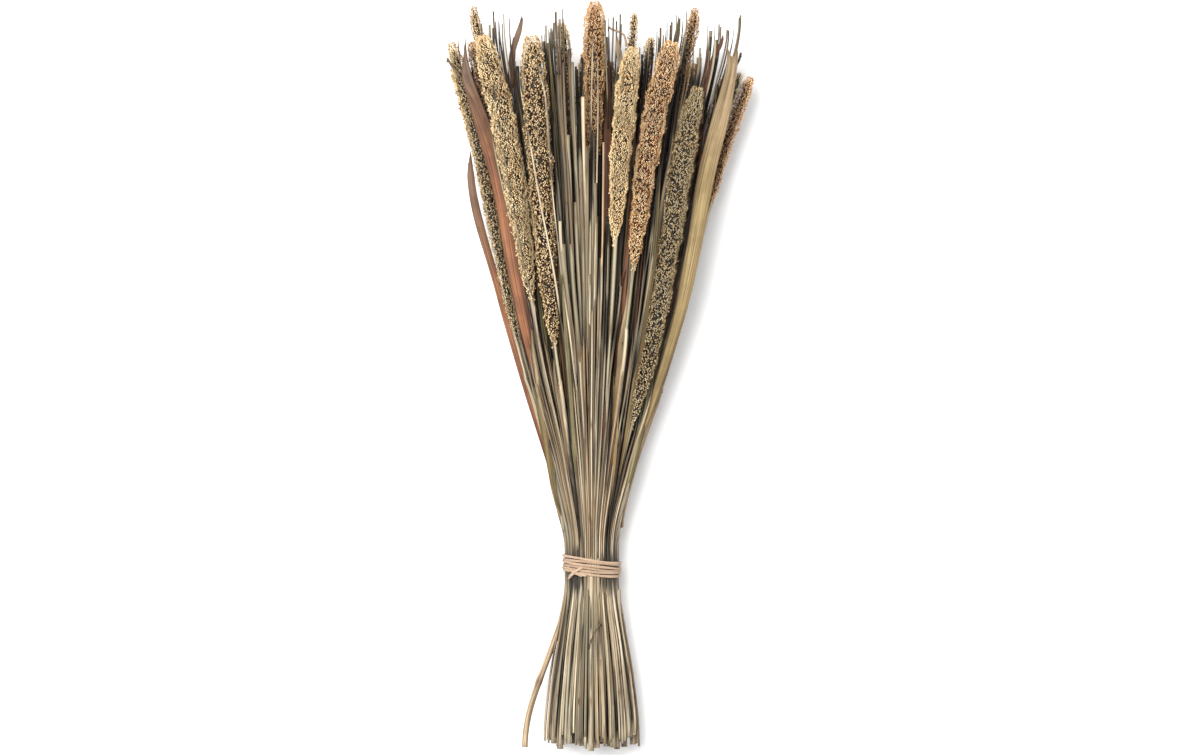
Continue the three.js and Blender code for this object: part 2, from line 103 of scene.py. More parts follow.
def gentle_curve(stops, values, y):
    """A smooth curve through the stops that never overshoots them: a cubic between each two stops,
    whose slope at a stop is the harmonic mean of the slopes beside it, or 0 at a peak."""
    stops, values, y = np.asarray(stops, float), np.asarray(values, float), np.asarray(y, float)
    slopes = np.diff(values) / np.diff(stops)
    before = np.concatenate([[0], slopes])
    after = np.concatenate([slopes, [0]])
    product = before * after
    total = np.where(before + after == 0, 1, before + after)
    tangent = np.where(product <= 0, 0, 2 * product / total)
    i = np.clip(np.searchsorted(stops, y, side="left") - 1, 0, len(stops) - 2)
    span = stops[i + 1] - stops[i]
    t = (y - stops[i]) / span
    start, end, rise = tangent[i] * span, tangent[i + 1] * span, values[i + 1] - values[i]
    return values[i] + t * (start + t * (3 * rise - 2 * start - end + t * (start + end - 2 * rise)))


def eased(share):
    """A share from 0 to 1 that starts and ends gently: 3t squared minus 2t cubed."""
    t = np.clip(share, 0, 1)
    return t * t * (3 - 2 * t)


def scattered(n):
    """Evenly scattered numbers from 0 to 1: multiples of the golden ratio, without their whole part."""
    return (n * 0.61803398875) % 1


def in_bundle(across, up, y):
    """Points of the bunch in mm: shares across and up of its section, at distances y."""
    wide, rise, drop, axis = (gentle_curve(SECTIONS[:, 0], SECTIONS[:, k], y) for k in (1, 2, 3, 4))
    z = axis + up * np.where(np.asarray(up) > 0, rise, drop)
    return np.stack(np.broadcast_arrays(across * wide, y, z), axis=-1)


def on_stalk(stalk, y):
    """Points of a stalk: it eases from its place in the tie to its place in the fan."""
    y = np.asarray(y, float)
    share = eased((y - SPREAD_FROM) / (SPREAD_TO - SPREAD_FROM))
    tip = np.maximum(0, (y - SPREAD_TO) / LEAN_OVER) ** 2 * stalk.get("lean", 0)
    foot = np.maximum(0, 1 - y / FEET_SPREAD_FROM) * stalk.get("stray", 0)
    across = stalk["tie"][0] + (stalk["fan"][0] - stalk["tie"][0]) * share + tip + foot
    up = stalk["tie"][1] + (stalk["fan"][1] - stalk["tie"][1]) * share
    return in_bundle(across, up, y)


def in_frame(points):
    """From the bunch's own mm to the frame's metres."""
    return (np.asarray(points) + [ACROSS_AT_TIE, CUT_ENDS, 0]) * MM


def place_in_tie(ring, degrees):
    angle = math.radians(degrees)
    return ring / 4 * math.cos(angle), ring / 4 * math.sin(angle)


print("tie at x =", round(ACROSS_AT_TIE, 2), "mm, cut ends at y =", round(CUT_ENDS, 2), "mm")

# %% [markdown]
# ## Stalks that bend round each other
# A straw that would run through a grain spike lies beside it instead. Each stalk is laid after the
# ones before it, and a handful of points along it are pushed sideways, away from what lies there. A
# physics simulation could do this too, but the push gives the same lie every time. It is tested at
# those points alone, so between them two thin stems can still share some room.

# %% Laying stalks clear of each other
GAP_NEAR_TIE, GAP_IN_FAN, OUT_OF_TIE = 0.35, 0.9, 200
TRIES, NUDGE = 60, 0.02
PRESSED_SHARE = 0.8  # a stalk on the table is pressed to this share of its radius
STOP_MARGIN, SLIMS_OVER = 12, 150
RADIUS_AT_TIE, RADIUS_ABOVE, NECK_RADIUS = 2.5, 2.1, 1.5
UNEVEN_FOOT = 13
laid = []
counter = 0


def bent_clear(point, reach, owner):
    """One point moved away from the stalks laid there, until the gap to each is wide enough or the
    tries are over. Where the bunch is crowded some overlap stays."""
    x, y, z = point
    apart = GAP_NEAR_TIE if y < OUT_OF_TIE else GAP_IN_FAN
    others = []
    for name, rings in laid:
        if name == owner or y < rings[0, 1] or y > rings[-1, 1]:
            continue
        others.append([np.interp(y, rings[:, 1], rings[:, k]) for k in (0, 2, 3)])
    for _ in range(TRIES):
        worst = 0
        for other_x, other_z, other_reach in others:
            dx, dz = x - other_x, z - other_z
            gap = math.hypot(dx, dz) or 0.01
            short = reach + other_reach + apart - gap
            if short <= 0:
                continue
            x += dx / gap * (short + NUDGE)
            z += dz / gap * (short + NUDGE)
            worst = max(worst, short)
        if worst < NUDGE:
            break
    return x, y, max(z, reach * PRESSED_SHARE)


def stops_between(start, end):
    return [start, *(y for y in STATIONS if start + STOP_MARGIN < y < end - STOP_MARGIN), end]


def stalk_rings(stalk, owner, start, end, at_top):
    """Rows of x, y, z and radius for a stalk between two distances from the cut ends."""
    rows = []
    for y in stops_between(start, end):
        reach = RADIUS_AT_TIE + (at_top - RADIUS_AT_TIE) * float(eased((y - SPREAD_FROM) / SLIMS_OVER))
        point = on_stalk(stalk, y)
        point = bent_clear(point, reach, owner) if y > SPREAD_FROM else point
        rows.append([*point, reach])
    return np.array(rows)


def uneven_foot():
    global counter
    counter += 1
    return UNEVEN_FOOT * scattered(counter)


def lay(owner, rings):
    laid.append((owner, rings))
    return rings


# %% [markdown]
# ## What the bunch is made of
# Three lists hold the whole bunch: its spikes, its leaves and its tufts of bare straws. The places
# are the ones of the solids, so each dressed piece stands where its solid is.

# %% Spikes, leaves and tufts
# name, ring and angle in the tie, place in the fan, lean of the tip, neck, tip, thickness, finish
SPIKES = [
    ("spike_khaki_right", 4, 45, (0.82, 0.62), -0.02, 280, 576, 20.5, "khaki"),
    ("spike_orange_right", 4, 60, (0.46, 0.9), 0.08, 417, 614, 20.5, "orange"),
    ("spike_cream_centre", 4, 75, (0.24, 0.98), 0.04, 438, 609, 19.5, "cream"),
    ("spike_golden_left", 4, 120, (-0.5, 0.9), 0.09, 350, 619, 21.5, "golden"),
    ("spike_cream_left", 4, 135, (-0.71, 0.73), -0.02, 392, 620, 20.5, "cream"),
    ("spike_olive_left_edge", 4, 165, (-1.0, 0.16), 0.04, 350, 616, 14, "olive"),
    ("spike_rust_right_edge", 4, 0, (1.16, -0.08), 0.02, 470, 587, 11.5, "rust"),
    ("spike_pale_right_edge", 4, 15, (1.07, 0.14), 0.02, 520, 590, 8, "khaki"),
    ("spike_rust_behind", 3, 100, (0.02, 0.52), 0.0, 500, 650, 18.5, "rust"),
    ("spike_dark_behind", 3, 80, (0.13, 0.2), 0.0, 440, 600, 13, "dark"),
    ("spike_olive_behind", 3, 120, (-0.23, 0.36), 0.03, 480, 632, 14, "olive"),
    ("spike_short_behind", 3, 60, (0.3, 0.52), -0.02, 590, 640, 7.5, "golden"),
    ("spike_tan_behind", 3, 40, (0.4, 0.36), 0.0, 540, 620, 9.5, "golden"),
    ("spike_dark_right_behind", 3, 20, (0.66, 0.2), 0.0, 500, 646, 12, "dark"),
    ("spike_brown_left_behind", 3, 160, (-0.84, 0.3), 0.02, 440, 616, 12, "dark"),
    ("spike_tan_left_behind", 3, 180, (-0.77, -0.06), 0.01, 470, 649, 10.5, "golden"),
    ("spike_under_left_edge", 4, 195, (-0.98, -0.42), 0.0, 400, 600, 15, "golden"),
    ("spike_under_left", 4, 225, (-0.74, -0.97), 0.0, 380, 606, 19, "khaki"),
    ("spike_under_left_inner", 4, 240, (-0.47, -1.0), 0.0, 360, 585, 18.5, "orange"),
    ("spike_under_centre", 4, 270, (-0.03, -1.0), 0.0, 400, 612, 19.5, "golden"),
    ("spike_under_right_inner", 4, 300, (0.42, -1.0), 0.0, 370, 590, 18.5, "cream"),
    ("spike_under_right", 4, 315, (0.72, -0.97), 0.0, 390, 602, 19, "rust"),
    ("spike_under_right_edge", 4, 345, (1.0, -0.48), 0.0, 430, 588, 13.5, "olive"),
]
# name, angle in the outer ring, place in the fan, lean, how far its foot strays, blade's start,
# cut top, half-width, roll, finish
LEAVES = [
    ("leaf_wide_right", 30, (1.1, 0.43), -0.125, 0, 216, 612, 8.2, -18, "tan_leaf"),
    ("leaf_copper_left", 150, (-0.86, 0.47), 0, 0, 216, 622, 8.4, 22, "copper_leaf"),
    ("leaf_narrow_left", 180, (-1.09, -0.05), 0, -0.55, 216, 512, 4.2, 30, "copper_leaf"),
    ("leaf_under_right", 330, (1.0, -0.78), 0, 0, 216, 570, 6.8, 150, "tan_leaf"),
]
# name, ring and angle in the tie, place in the fan, number of straws
TUFTS = [
    ("straws_front_right", 4, 90, (0.02, 0.97), 4),
    ("straws_front_left", 4, 105, (-0.24, 0.95), 4),
    ("straws_under_left", 4, 210, (-0.92, -0.66), 3),
    ("straws_under_mid_left", 4, 255, (-0.24, -0.94), 3),
    ("straws_under_mid_right", 4, 285, (0.2, -0.94), 3),
    ("straws_right", 3, 0, (0.84, -0.02), 3),
    ("straws_left", 3, 140, (-0.52, 0.42), 3),
]
for degrees in range(200, 360, 20):
    across = -0.76 + 1.52 * (degrees - 200) / 140
    TUFTS.append((f"straws_lower_{degrees}", 3, degrees, (across, -0.5), 2))
for degrees in range(0, 360, 30):
    across, up = place_in_tie(2, degrees)
    TUFTS.append((f"straws_inner_{degrees}", 2, degrees, (across * 1.1, up * 0.8), 2))
LOWEST_TOP, THICK_TOP, THIN_TOP, TUFT_SPREAD = 410, 606, 636, (0.095, 0.0665)
CORE_RING, CORE_TOP, CORE_TOPS_DIFFER, CORE_FAN = 4.9, 360, 40, (0.3, 0.22)
CORE_PRESS, CORE_PRESSED_FROM, CORE_PRESSED_TO = 0.2, 80, 230
TIE_HALF = float(SECTIONS[2, 1])
STEM_BELOW_GRAIN, STEM_IN_BLADE = 4, 30
BLADE_ROOT, BLADE_OPENS_OVER, BLADE_NARROWS_FROM, BLADE_TOP_SHARE = 2.2, 330, 500, 0.64
SPIKE_ROW, TIP_CUT = 14.5, 0.985


def spike_share(t):
    """Share of a spike's full radius: narrow at the neck, full above its middle, blunt at the tip."""
    return (1 - 0.65 * (1 - t) ** 3) * np.sqrt(np.maximum(0, 1 - t ** 9))


def blade_half(y, start, end, half):
    """Half-width of a blade: it opens slowly from its stalk, and narrows towards its cut top."""
    opened = BLADE_ROOT + (half - BLADE_ROOT) * eased((y - start) / BLADE_OPENS_OVER)
    past = eased((y - BLADE_NARROWS_FROM) / max(1, end - BLADE_NARROWS_FROM))
    return opened * (1 - (1 - BLADE_TOP_SHARE) * past)


stems, blades, straws = {}, {}, {}
spike_stalks = {}
for name, ring, degrees, fan, lean, neck, tip, thick, finish in SPIKES:
    stalk = {"tie": place_in_tie(ring, degrees), "fan": fan, "lean": lean}
    rows = max(5, round((tip - neck) / SPIKE_ROW))
    t = np.arange(rows + 1) / rows
    reach = thick / 2 * spike_share(t * TIP_CUT)
    lay(name, np.column_stack([on_stalk(stalk, neck + (tip - neck) * t), reach]))
    spike_stalks[name] = stalk
for name, ring, degrees, fan, lean, neck, tip, thick, finish in SPIKES:
    stem = stalk_rings(spike_stalks[name], name, uneven_foot(), neck - STEM_BELOW_GRAIN, NECK_RADIUS)
    into_grain = [*on_stalk(spike_stalks[name], neck + 2 * SPIKE_ROW), NECK_RADIUS]
    stems[name] = lay(name, np.vstack([stem, into_grain]))
for name, degrees, fan, lean, stray, start, end, half, roll, finish in LEAVES:
    stalk = {"tie": place_in_tie(4, degrees), "fan": fan, "lean": lean, "stray": stray}
    stem = stalk_rings(stalk, name, uneven_foot(), start + STEM_IN_BLADE, NECK_RADIUS)
    stops = np.array(stops_between(start, end))
    blade = np.column_stack([on_stalk(stalk, stops), blade_half(stops, start, end, half)])
    stems[name] = lay(name, stem)
    blades[name] = lay(name, blade)
core_places = [(0, 0)] + [(math.cos(n * math.pi / 3), math.sin(n * math.pi / 3)) for n in range(6)]
straws["straws_core"] = []
for n, (across, up) in enumerate(core_places):
    tie = (across * CORE_RING / TIE_HALF, up * CORE_RING / TIE_HALF)
    foot = 0 if n == 0 else uneven_foot()
    stalk = {"tie": tie, "fan": (across * CORE_FAN[0], up * CORE_FAN[1])}
    top = CORE_TOP - CORE_TOPS_DIFFER * scattered(n)
    rings = stalk_rings(stalk, "straws_core", foot, top, NECK_RADIUS)
    rings[:, 3] += CORE_PRESS * ((rings[:, 1] >= CORE_PRESSED_FROM) & (rings[:, 1] <= CORE_PRESSED_TO))
    straws["straws_core"].append(lay("straws_core", rings))
for name, ring, degrees, fan, count in TUFTS:
    straws[name] = []
    for n in range(count):
        angle = 2 * math.pi * scattered(counter + n) + n
        wide, high = (0, 0) if n == 0 else TUFT_SPREAD
        place = (fan[0] + wide * math.cos(angle), fan[1] + high * math.sin(angle))
        foot = uneven_foot() if n == 0 else SPREAD_FROM
        highest = THICK_TOP if n == 0 else THIN_TOP
        top = LOWEST_TOP + (highest - LOWEST_TOP) * scattered(3 * counter + 7 * n)
        stalk = {"tie": place_in_tie(ring, degrees), "fan": place}
        rings = stalk_rings(stalk, name, foot, top, RADIUS_ABOVE if n == 0 else NECK_RADIUS)
        straws[name].append(lay(name, rings))
print("stems", len(stems), "blades", len(blades), "straws", sum(len(s) for s in straws.values()))

# %% [markdown]
# ## Meshes from arrays
# Every piece below is a surface worked out with numpy: a grid of points for two parameters, or one
# small shape repeated many times. One helper turns arrays of points and triangles into a mesh, with
# the values that the finishes read as named attributes, and the flow of the surface as a UV map.

# %% The mesh helper


def make_piece(name, points, triangles, values, flow):
    """A mesh object from points in metres, triangles, one value per point for each named attribute,
    and for each point the distances round and along the piece, as its own UV map."""
    mesh = bpy.data.meshes.new(name)
    mesh.vertices.add(len(points))
    mesh.vertices.foreach_set("co", np.ascontiguousarray(points, np.float32).ravel())
    mesh.loops.add(len(triangles) * 3)
    mesh.loops.foreach_set("vertex_index", np.ascontiguousarray(triangles, np.int32).ravel())
    mesh.polygons.add(len(triangles))
    mesh.polygons.foreach_set("loop_start", np.arange(0, len(triangles) * 3, 3, dtype=np.int32))
    mesh.polygons.foreach_set("use_smooth", np.ones(len(triangles), bool))
    for key, numbers in values.items():
        attribute = mesh.attributes.new(key, "FLOAT", "POINT")
        attribute.data.foreach_set("value", np.ascontiguousarray(numbers, np.float32))
    layer = mesh.uv_layers.new(name="flow")
    layer.data.foreach_set("uv", np.ascontiguousarray(flow[triangles.ravel()], np.float32).ravel())
    mesh.update(calc_edges=True)
    piece = bpy.data.objects.new(name, mesh)
    bpy.context.scene.collection.objects.link(piece)
    return piece


def directions(vectors):
    return vectors / np.linalg.norm(vectors, axis=-1, keepdims=True)


def frames_along(path):
    """Directions along, to the side and up at each point of a path, with the side kept level."""
    along = directions(np.gradient(path, axis=0))
    side = directions(np.cross(along, [0, 0, 1]))
    return along, side, np.cross(side, along)


def grid_triangles(rows, columns, closed):
    """Triangles of a grid of points, row by row. A closed grid joins its last column to its first."""
    row, column = np.meshgrid(np.arange(rows - 1), np.arange(columns - (not closed)), indexing="ij")
    a, b = row * columns + column, row * columns + (column + 1) % columns
    c, d = a + columns, b + columns
    return np.concatenate([np.stack([a, b, d], -1).reshape(-1, 3), np.stack([a, d, c], -1).reshape(-1, 3)])


def facing_out(points, triangles):
    """The triangles, turned round if the closed shape that they make has a negative volume."""
    a, b, c = (points[triangles[:, k]] - points.mean(axis=0) for k in range(3))
    volume = np.einsum("ij,ij->i", a, np.cross(b, c)).sum()
    return triangles if volume > 0 else triangles[:, ::-1]


class Pile:
    """Gathers the closed parts of one piece: points, triangles, attribute values and flow."""

    def __init__(self):
        self.points, self.triangles, self.values, self.flow, self.count = [], [], [], [], 0

    def add(self, points, triangles, values, flow):
        self.points.append(points)
        self.triangles.append(facing_out(points, triangles) + self.count)
        self.values.append(values)
        self.flow.append(flow)
        self.count += len(points)

    def piece(self, name):
        """The gathered parts as one object. What would reach below the table is pressed flat on it."""
        values = {k: np.concatenate([v[k] for v in self.values]) for k in self.values[0]}
        points = np.concatenate(self.points)
        points[:, 2] = np.maximum(points[:, 2], 0.05)
        triangles = np.concatenate(self.triangles)
        print(f"{name}: {len(triangles)} triangles")
        return make_piece(name, in_frame(points), triangles, values, np.concatenate(self.flow))


# %% [markdown]
# ## Shared effects in the finishes
# Straw, leaf and raffia are all made of long parallel fibres, so one node group gives fine and broad
# streaks along the flow of the surface. Dried plants are also blotched: a second group gives slow
# stains and small specks. Both only put out masks, and each finish colours them in its own way.

# %% Node helpers


def node_in(tree, kind, inputs=(), **settings):
    """A node with its settings, and its inputs either joined to a socket or set to a value."""
    node = tree.nodes.new(kind)
    for key, value in settings.items():
        setattr(node, key, value)
    for key, value in dict(inputs).items():
        if isinstance(value, bpy.types.NodeSocket):
            tree.links.new(value, node.inputs[key])
        else:
            node.inputs[key].default_value = value
    return node


def group_of(name, inputs, outputs):
    """An empty node group with float inputs and outputs."""
    group = bpy.data.node_groups.new(name, "ShaderNodeTree")
    for label, value in inputs:
        socket = group.interface.new_socket(name=label, in_out="INPUT", socket_type="NodeSocketFloat")
        socket.default_value = value
    for label in outputs:
        group.interface.new_socket(name=label, in_out="OUTPUT", socket_type="NodeSocketFloat")
    return group, group.nodes.new("NodeGroupInput"), group.nodes.new("NodeGroupOutput")


def times(tree, value, factor):
    return node_in(tree, "ShaderNodeMath", {0: value, 1: factor}, operation="MULTIPLY").outputs[0]


def value_of(tree, name):
    return node_in(tree, "ShaderNodeAttribute", attribute_name=name).outputs["Fac"]


def ramp(tree, fac, stops):
    """A colour ramp through stops of (position, colour)."""
    node = node_in(tree, "ShaderNodeValToRGB", {"Fac": fac})
    elements = node.color_ramp.elements
    for position, colour in stops[1:-1]:
        elements.new(position).color = (*colour, 1)
    elements[0].position, elements[0].color = stops[0][0], (*stops[0][1], 1)
    elements[-1].position, elements[-1].color = stops[-1][0], (*stops[-1][1], 1)
    return node.outputs["Color"]


def blended(tree, factor, under, over, how="MIX"):
    """One colour over another."""
    node = node_in(tree, "ShaderNodeMix", data_type="RGBA", blend_type=how)
    for index, value in ((0, factor), (6, under), (7, over)):
        if isinstance(value, bpy.types.NodeSocket):
            tree.links.new(value, node.inputs[index])
        else:
            node.inputs[index].default_value = value if index == 0 else (*value, 1)
    return node.outputs[2]


STRONG_LIGHT = 1.12


def rgb(red, green, blue):
    """A colour as it looks on screen, 0 to 255, as the linear values that Blender mixes. The light is
    a little strong, which keeps the pale table white, so the colours are that much deeper."""
    return tuple((c / 255) ** 2.2 / STRONG_LIGHT for c in (red, green, blue))


# %% Node groups for fibres and stains


def long_fibres():
    """Streaks along the flow: noise stretched lengthwise, once fine and once broad."""
    group, given, result = group_of("long fibres", [("Across", 1.6), ("Along", 0.02)], ["Fine", "Broad"])
    flow = node_in(group, "ShaderNodeUVMap", uv_map="flow")
    parts = node_in(group, "ShaderNodeSeparateXYZ", {0: flow.outputs[0]})
    across = times(group, parts.outputs[0], given.outputs["Across"])
    along = times(group, parts.outputs[1], given.outputs["Along"])
    place = node_in(group, "ShaderNodeCombineXYZ", {0: across, 1: along})
    for label, scale, detail in (("Fine", 2.6, 4), ("Broad", 0.7, 2)):
        noise = node_in(group, "ShaderNodeTexNoise", {
            "Vector": place.outputs[0], "Scale": scale, "Detail": detail})
        group.links.new(noise.outputs["Fac"], result.inputs[label])
    return group


def dry_stains():
    """Slow stains and small specks of a dried plant, in the object's own space."""
    sizes = [("Stain Size", 40.0), ("Speck Size", 600.0)]
    group, given, result = group_of("dry stains", sizes, ["Stain", "Speck"])
    where = node_in(group, "ShaderNodeTexCoord")
    for label, low, high in (("Stain", 0.42, 0.62), ("Speck", 0.6, 0.72)):
        noise = node_in(group, "ShaderNodeTexNoise", {
            "Vector": where.outputs["Object"], "Scale": given.outputs[f"{label} Size"], "Detail": 3})
        edge = node_in(group, "ShaderNodeMapRange", {
            "Value": noise.outputs["Fac"], "From Min": low, "From Max": high})
        group.links.new(edge.outputs["Result"], result.inputs[label])
    return group


FIBRES, STAINS = long_fibres(), dry_stains()


def placed(tree, group, **values):
    """One of the shared groups in a material, with its own values."""
    node = node_in(tree, "ShaderNodeGroup", node_tree=group)
    for key, value in values.items():
        node.inputs[key.replace("_", " ").title()].default_value = value
    return node.outputs


def new_finish(name, roughness):
    material = bpy.data.materials.new(name)
    material.use_nodes = True
    tree = material.node_tree
    shader = tree.nodes["Principled BSDF"]
    shader.inputs["Roughness"].default_value = roughness
    shader.inputs["Specular IOR Level"].default_value = 0.3
    return material, tree, shader


def coloured(tree, shader, colour, height, distance, strength):
    """Joins a colour to the shader, and a height to it through a bump."""
    tree.links.new(colour, shader.inputs["Base Color"])
    bump = node_in(tree, "ShaderNodeBump", {"Height": height, "Distance": distance, "Strength": strength})
    tree.links.new(bump.outputs["Normal"], shader.inputs["Normal"])


# %% [markdown]
# ## Grain finishes
# A millet grain is a hard little bead. Each grain has one number of its own, its tone, and a ramp turns the
# tone into the colours of that spike, from the near-black core, painted shade between the grains, to the
# palest husk. Within a grain the tone is painted lighter at its outer tip and darker at its foot: a painted
# highlight and painted shade. The bristles take the last stop of the ramp.

# %% Grain finishes
GRAINS = {
    # core (near black, painted shade between the grains), foot of a grain (painted shade), dark grain,
    # middle, light, bristle
    "cream": ((36, 20, 10), (104, 66, 34), (194, 148, 94), (244, 200, 142), (255, 236, 188), (236, 198, 144)),
    "golden": ((20, 11, 6), (56, 32, 16), (126, 86, 48), (190, 148, 96), (255, 226, 176), (178, 146, 98)),
    "orange": ((34, 14, 7), (92, 44, 22), (172, 104, 54), (234, 174, 112), (255, 228, 180), (208, 166, 116)),
    "khaki": ((16, 11, 6), (42, 30, 16), (134, 100, 58), (226, 183, 122), (255, 236, 190), (88, 68, 48)),
    "olive": ((20, 14, 7), (58, 42, 22), (128, 94, 54), (212, 170, 112), (255, 230, 180), (160, 134, 88)),
    "rust": ((36, 15, 8), (88, 44, 22), (164, 106, 60), (210, 156, 100), (252, 212, 160), (196, 146, 92)),
    "dark": ((24, 12, 7), (62, 36, 22), (126, 84, 54), (184, 136, 92), (234, 194, 144), (142, 104, 70)),
}
TONE_STOPS = (0.0, 0.14, 0.32, 0.5, 0.78, 1.0)


def grain_finish(name, colours):
    material, tree, shader = new_finish(f"{name} grain", 0.6)
    colour = ramp(tree, value_of(tree, "tone"), [(p, rgb(*c)) for p, c in zip(TONE_STOPS, colours)])
    stains = placed(tree, STAINS, stain_size=60, speck_size=900)
    colour = blended(tree, times(tree, stains["Stain"], 0.18), colour, rgb(*colours[1]))
    colour = blended(tree, times(tree, stains["Speck"], 0.3), colour, rgb(*colours[4]))
    # Painted shade: points deep in the bunch are darkened towards the core colour.
    colour = blended(tree, times(tree, value_of(tree, "depth_shade"), 0.4), colour, rgb(*colours[0]))
    coloured(tree, shader, colour, stains["Speck"], 0.0001, 0.4)
    return material


GRAIN_FINISH = {name: grain_finish(name, colours) for name, colours in GRAINS.items()}
print("grain finishes:", ", ".join(GRAIN_FINISH))

# %% [markdown]
# ## Straw, leaf and raffia finishes
# A dry straw is khaki to cream, with fine ribs, brown rings at its joints and a pale pith where it is cut.
# The hollow at each cut end and one side of every straw are painted darker, as painted shade, and deep in the
# bunch straw and leaf are painted darker still, painted shade too. A dry leaf is streaked along its veins and
# browner at its edges. Raffia is a split palm leaf: pinkish tan, fibrous and dull. All three read the flow of
# the surface from their own UV map.

# %% Straw, leaf and raffia finishes
STRAW_TONES = [
    (0.0, rgb(80, 63, 48)), (0.12, rgb(114, 100, 81)), (0.28, rgb(149, 140, 115)),
    (0.44, rgb(183, 173, 147)), (0.6, rgb(210, 195, 168)), (0.74, rgb(218, 199, 168)),
    (0.88, rgb(200, 172, 138)), (1.0, rgb(172, 132, 92)),
]


def straw_finish():
    material, tree, shader = new_finish("dry straw", 0.5)
    fibres = placed(tree, FIBRES, across=0.3, along=0.005)
    own = ramp(tree, value_of(tree, "tone"), STRAW_TONES)
    streaks = ramp(tree, fibres["Fine"], [
        (0.39, (0.26, 0.23, 0.2)), (0.5, (0.98, 0.98, 0.98)), (0.66, (1.12, 1.1, 1.06))])
    colour = blended(tree, 1.0, own, streaks, "MULTIPLY")
    broad = ramp(tree, fibres["Broad"], [(0.38, (0.56, 0.54, 0.52)), (0.6, (1.1, 1.09, 1.08))])
    colour = blended(tree, 0.9, colour, broad, "MULTIPLY")
    stains = placed(tree, STAINS, stain_size=36, speck_size=500)
    colour = blended(tree, times(tree, stains["Stain"], 0.28), colour, rgb(128, 104, 70))
    colour = blended(tree, value_of(tree, "joint"), colour, rgb(98, 70, 42))
    colour = blended(tree, value_of(tree, "cut"), colour, rgb(232, 216, 178))
    # Painted shade: the inside of the hollow at each cut end is painted dark.
    colour = blended(tree, value_of(tree, "hollow"), colour, rgb(46, 34, 20))
    # Painted shade: one side of each straw is darkened.
    colour = blended(tree, times(tree, value_of(tree, "painted_side_shade"), 0.7), colour, rgb(62, 50, 38))
    # Painted shade: points deep in the bunch are darkened.
    colour = blended(tree, times(tree, value_of(tree, "depth_shade"), 0.94), colour, rgb(26, 20, 14))
    coloured(tree, shader, colour, fibres["Fine"], 0.0004, 0.7)
    return material


def leaf_finish(name, edge, dark, middle, light, tip):
    material, tree, shader = new_finish(name, 0.56)
    fibres = placed(tree, FIBRES, across=0.42, along=0.005)
    colour = ramp(tree, fibres["Broad"], [(0.36, rgb(*dark)), (0.49, rgb(*middle)), (0.64, rgb(*light))])
    colour = blended(tree, value_of(tree, "tip"), colour, rgb(*tip))
    fine = ramp(tree, fibres["Fine"], [
        (0.38, (0.36, 0.32, 0.3)), (0.52, (1, 1, 1)), (0.68, (1.14, 1.12, 1.1))])
    colour = blended(tree, 0.8, colour, fine, "MULTIPLY")
    stains = placed(tree, STAINS, stain_size=55, speck_size=500)
    colour = blended(tree, times(tree, stains["Stain"], 0.3), colour, rgb(*dark))
    colour = blended(tree, value_of(tree, "edge"), colour, rgb(*edge))
    # Painted shade: points deep in the bunch are darkened.
    colour = blended(tree, times(tree, value_of(tree, "depth_shade"), 0.35), colour, rgb(34, 25, 17))
    coloured(tree, shader, colour, fibres["Fine"], 0.0005, 0.8)
    return material


def raffia_finish():
    material, tree, shader = new_finish("raffia", 0.7)
    fibres = placed(tree, FIBRES, across=1.8, along=0.03)
    colour = ramp(tree, fibres["Fine"], [
        (0.3, rgb(138, 106, 82)), (0.46, rgb(194, 166, 140)), (0.72, rgb(226, 204, 180))])
    own = ramp(tree, value_of(tree, "tone"), [(0.0, (0.78, 0.72, 0.68)), (1.0, (1.06, 1.03, 1.0))])
    colour = blended(tree, 1.0, colour, own, "MULTIPLY")
    coloured(tree, shader, colour, fibres["Fine"], 0.0005, 0.9)
    return material


STRAW = straw_finish()
LEAF = {
    "tan_leaf": leaf_finish("tan leaf", (100, 76, 50), (98, 80, 48), (136, 114, 74), (164, 142, 98),
                            (180, 156, 124)),
    "copper_leaf": leaf_finish("copper leaf", (52, 30, 22), (54, 30, 21), (122, 76, 49), (160, 106, 72),
                               (116, 96, 78)),
    "olive_leaf": leaf_finish("olive leaf", (72, 62, 38), (78, 68, 44), (126, 116, 80), (164, 154, 116),
                              (112, 100, 70)),
    "red_leaf": leaf_finish("red-brown leaf", (58, 30, 22), (70, 38, 28), (118, 70, 48), (158, 106, 74),
                            (92, 54, 38)),
}
RAFFIA = raffia_finish()

# %% [markdown]
# ## Straws
# A straw is a thin hollow tube with fine ribs and a swollen joint every hand's breadth. The surface
# is a ring carried along the stalk's path: its radius ripples with the angle for the ribs, swells at
# the joints, and at a cut end turns inwards and back down, which leaves the hollow that real straw
# shows. A curve with a bevel would be quicker, but it has no joints, ribs or hollow.

# %% The straw surface
STRAW_COLUMNS = 12
STRAW_STEP = 7.0
HOLLOW_DEPTH, HOLLOW_SHARE = 4.0, 0.62
SWAY, BOB = 0.6, 0.3
RIB_DEPTH, JOINT_SWELL, JOINT_REACH, NO_JOINT_NEAR_TIE = 0.03, 0.16, 4.0, 22


